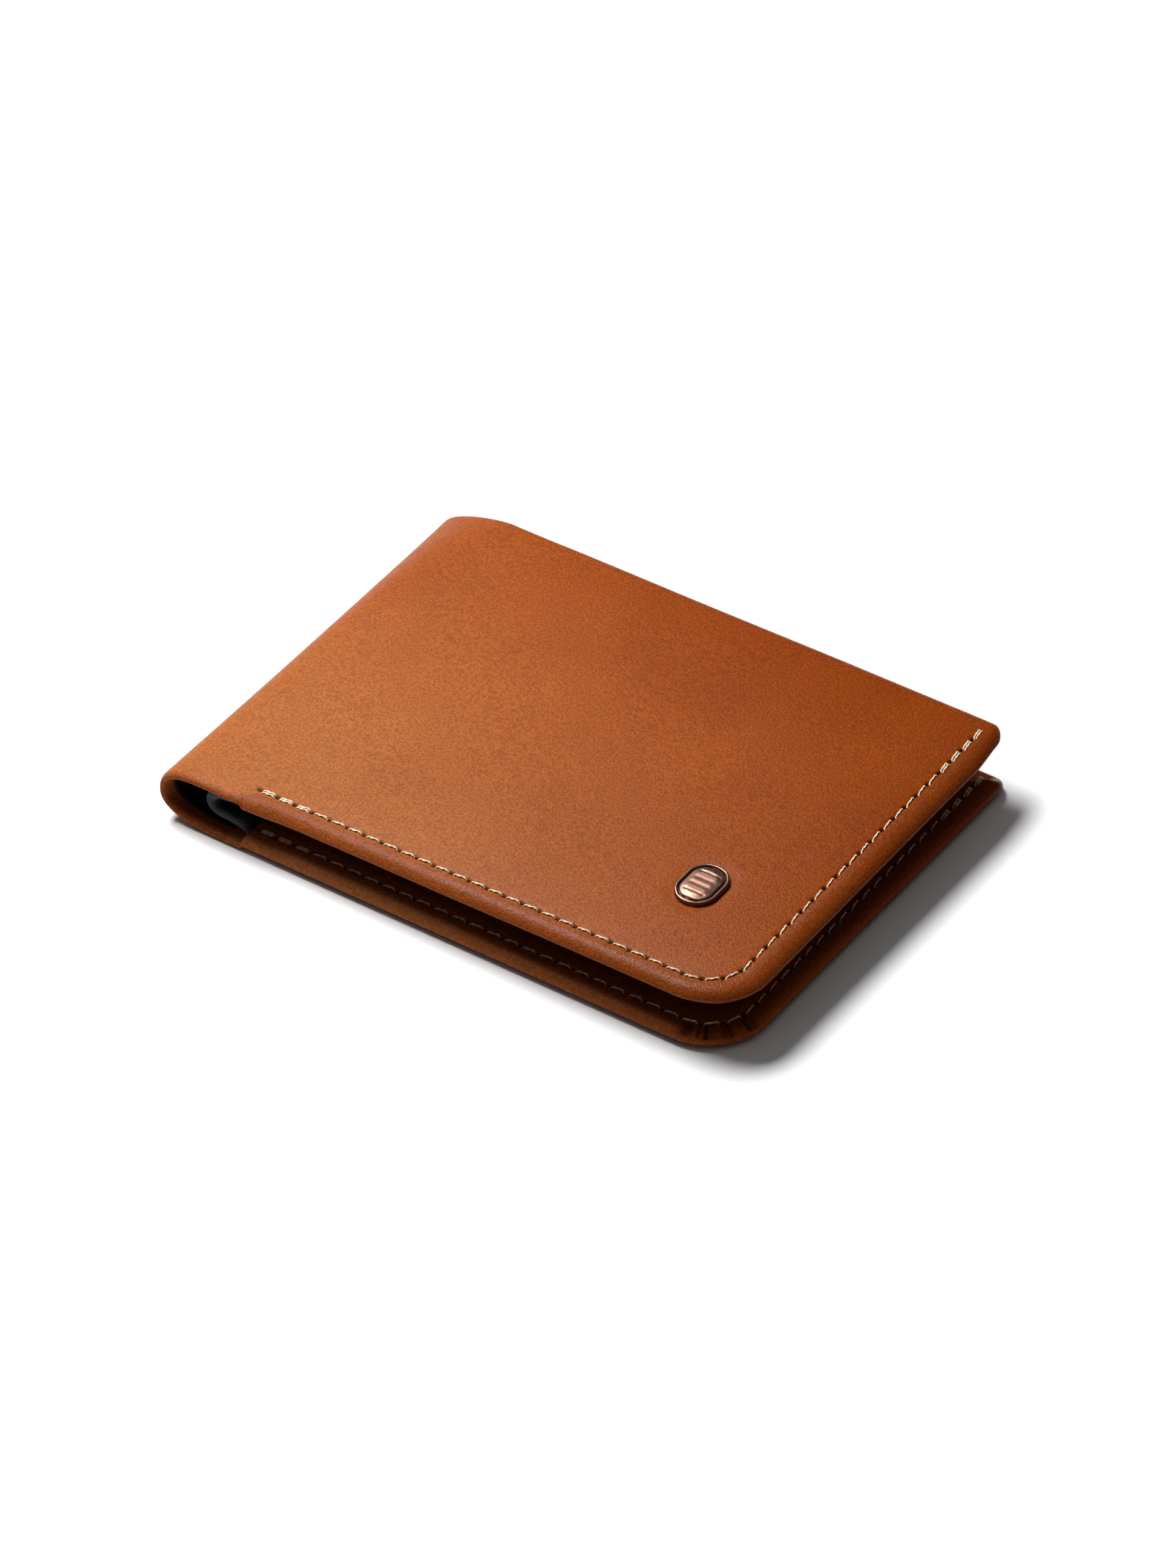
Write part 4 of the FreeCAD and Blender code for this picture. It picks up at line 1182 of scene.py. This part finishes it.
def cloth(name, pale, deep, thread):
    """Woven cloth: crossed threads, fibre noise and a soft sheen, darkened to near black where the mark
    paints shade.
    """
    nodes = Nodes(name)
    scale = 1 / thread / (2 * math.pi)
    wave = {"Scale": scale, "Distortion": 0.6, "Detail Scale": 2.0, "Vector": nodes.place}
    warp, weft = (nodes.node("TexWave", wave, bands_direction=way).outputs["Color"] for way in "XY")
    weave = nodes.mix(0.5, warp, weft, "DIFFERENCE")
    fibre = nodes.noise(0.25 * MM, 4.0, 0.7)
    # Painted shade: the mark darkens the cloth to near black
    colour = nodes.mix(nodes.mark(), nodes.mix(fibre, deep, pale), (0.002, 0.002, 0.002))
    normal = nodes.bump(weave, 0.08 * MM, 0.7)
    normal = nodes.bump(fibre, 0.06 * MM, 0.6, normal)
    nodes.set(Base_Color=colour, Roughness=nodes.spread(fibre, 0.78, 0.95), Normal=normal)
    nodes.set(Sheen_Weight=0.12, Sheen_Roughness=0.5, Specular_IOR_Level=0.2)
    return nodes.material


def divider_material():
    return cloth("divider cloth", (0.032, 0.030, 0.036), (0.012, 0.0115, 0.0135), 0.35 * MM)


def lining_material():
    return cloth("lining cloth", (0.035, 0.03, 0.03), (0.012, 0.01, 0.01), 0.3 * MM)


def board_material():
    nodes = Nodes("bonded board")
    fibre = nodes.noise(0.6 * MM, 6.0, 0.7, 0.4)
    nodes.set(Base_Color=nodes.mix(fibre, (0.16, 0.12, 0.08), (0.28, 0.22, 0.16)))
    nodes.set(Roughness=nodes.spread(fibre, 0.75, 0.95), Normal=nodes.bump(fibre, 0.05 * MM))
    return nodes.material


def thread_material():
    nodes = Nodes("waxed thread")
    fibre = nodes.noise(0.11 * MM, 3.0, 0.6)
    tone = nodes.noise(3.1 * MM, 2.0)
    colour = nodes.mix(fibre, (0.50, 0.36, 0.22), (0.86, 0.72, 0.54))
    colour = nodes.mix(nodes.spread(tone, 0.0, 0.35, 0.4, 0.7), colour, (0.55, 0.38, 0.22))
    nodes.set(Base_Color=colour, Roughness=nodes.spread(fibre, 0.45, 0.7))
    nodes.set(Normal=nodes.bump(fibre, 0.03 * MM), Sheen_Weight=0.2, Sheen_Roughness=0.4)
    return nodes.material


def badge_material():
    nodes = Nodes("antiqued copper")
    tarnish = nodes.noise(0.8 * MM, 4.0, 0.6)
    scratch = nodes.noise(0.15 * MM, 2.0)
    colour = nodes.mix(tarnish, (0.13, 0.065, 0.045), (0.22, 0.118, 0.085))
    colour = nodes.mix(nodes.mark(), colour, (0.018, 0.008, 0.005))
    nodes.set(Base_Color=colour, Roughness=nodes.spread(tarnish, 0.28, 0.45), Metallic=1.0)
    nodes.set(Normal=nodes.bump(scratch, 0.006 * MM))
    return nodes.material


def steel_material():
    nodes = Nodes("plated steel")
    wear = nodes.noise(0.5 * MM, 3.0)
    nodes.set(Base_Color=nodes.mix(wear, (0.45, 0.45, 0.46), (0.62, 0.62, 0.63)), Metallic=1.0)
    nodes.set(Roughness=nodes.spread(wear, 0.25, 0.4), Normal=nodes.bump(wear, 0.01 * MM))
    return nodes.material


# Stage

CAMERA_AZIMUTH = math.radians(33.84)
CAMERA_ELEVATION = math.radians(39.95)
CAMERA_ROLL = math.radians(0.19)
CAMERA_DISTANCE = 1.565
CAMERA_LENS = 212.36
CAMERA_TARGET = Vector((1.0 * MM, -0.8 * MM, 4.9 * MM))
KEY_DIRECTION = Vector((-6.4, 1.3, 11.5)).normalized()
KEY_DISTANCE = 0.34
KEY_LENGTH = 0.28
KEY_WIDTH = 0.16
KEY_POWER = 2.9
SKY_STRENGTH = 0.25
FLOOR_SIZE = 3.0
FLOOR_GLOW_START = 0.10
FLOOR_GLOW_END = 0.30
FLOOR_GLOW = 0.8


def make_camera():
    back = Vector((math.sin(CAMERA_AZIMUTH) * math.cos(CAMERA_ELEVATION),
                   -math.cos(CAMERA_AZIMUTH) * math.cos(CAMERA_ELEVATION), math.sin(CAMERA_ELEVATION)))
    right = Vector((math.cos(CAMERA_AZIMUTH), math.sin(CAMERA_AZIMUTH), 0))
    up = back.cross(right)
    tilted_right = right * math.cos(CAMERA_ROLL) + up * math.sin(CAMERA_ROLL)
    tilted_up = back.cross(tilted_right)
    data = bpy.data.cameras.new("camera")
    data.lens = CAMERA_LENS
    data.sensor_width = 36.0
    data.clip_end = 20.0
    camera = bpy.data.objects.new("camera", data)
    turn = Matrix((tilted_right, tilted_up, back)).transposed()
    camera.matrix_world = Matrix.Translation(CAMERA_TARGET + back * CAMERA_DISTANCE) @ turn.to_4x4()
    bpy.context.scene.collection.objects.link(camera)
    bpy.context.scene.camera = camera


def make_light():
    data = bpy.data.lights.new("key", "AREA")
    data.shape = "ELLIPSE"
    data.size = KEY_LENGTH
    data.size_y = KEY_WIDTH
    data.energy = KEY_POWER
    key = bpy.data.objects.new("key", data)
    key.location = KEY_DIRECTION * KEY_DISTANCE
    key.rotation_mode = "QUATERNION"
    key.rotation_quaternion = KEY_DIRECTION.to_track_quat("Z", "Y")
    bpy.context.scene.collection.objects.link(key)
    world = bpy.data.worlds.new("studio")
    world.use_nodes = True
    sky = world.node_tree.nodes["Background"]
    sky.inputs["Color"].default_value = (1.0, 1.0, 1.0, 1.0)
    place = world.node_tree.nodes.new("ShaderNodeTexCoord")
    height = world.node_tree.nodes.new("ShaderNodeSeparateXYZ")
    overhead = world.node_tree.nodes.new("ShaderNodeMapRange")
    overhead.inputs["From Min"].default_value = 0.25
    overhead.inputs["To Max"].default_value = SKY_STRENGTH
    world.node_tree.links.new(place.outputs["Generated"], height.inputs["Vector"])
    world.node_tree.links.new(height.outputs["Z"], overhead.inputs["Value"])
    world.node_tree.links.new(overhead.outputs["Result"], sky.inputs["Strength"])
    bpy.context.scene.world = world
    bpy.context.scene.view_settings.view_transform = "Standard"


def make_floor():
    mesh = bpy.data.meshes.new("floor")
    half = FLOOR_SIZE / 2
    corners = [(-half, -half, 0), (half, -half, 0), (half, half, 0), (-half, half, 0)]
    mesh.from_pydata(corners, [], [(0, 1, 2, 3)])
    floor = bpy.data.objects.new("floor", mesh)
    nodes = Nodes("pale floor")
    nodes.set(Base_Color=nodes.mix(nodes.noise(0.2), (0.84, 0.84, 0.84), (0.86, 0.86, 0.86)))
    distance = nodes.node("VectorMath", {0: nodes.place}, operation="LENGTH").outputs["Value"]
    glow = nodes.spread(distance, 0.0, FLOOR_GLOW, FLOOR_GLOW_START, FLOOR_GLOW_END)
    nodes.set(Roughness=0.9, Specular_IOR_Level=0.0, Emission_Color=(1.0, 1.0, 1.0), Emission_Strength=glow)
    mesh.materials.append(nodes.material)
    bpy.context.scene.collection.objects.link(floor)


make_cover()
make_card_layers()
make_lining()
make_divider()
make_stitching()
make_badge()
make_washer()
make_floor()
make_light()
make_camera()
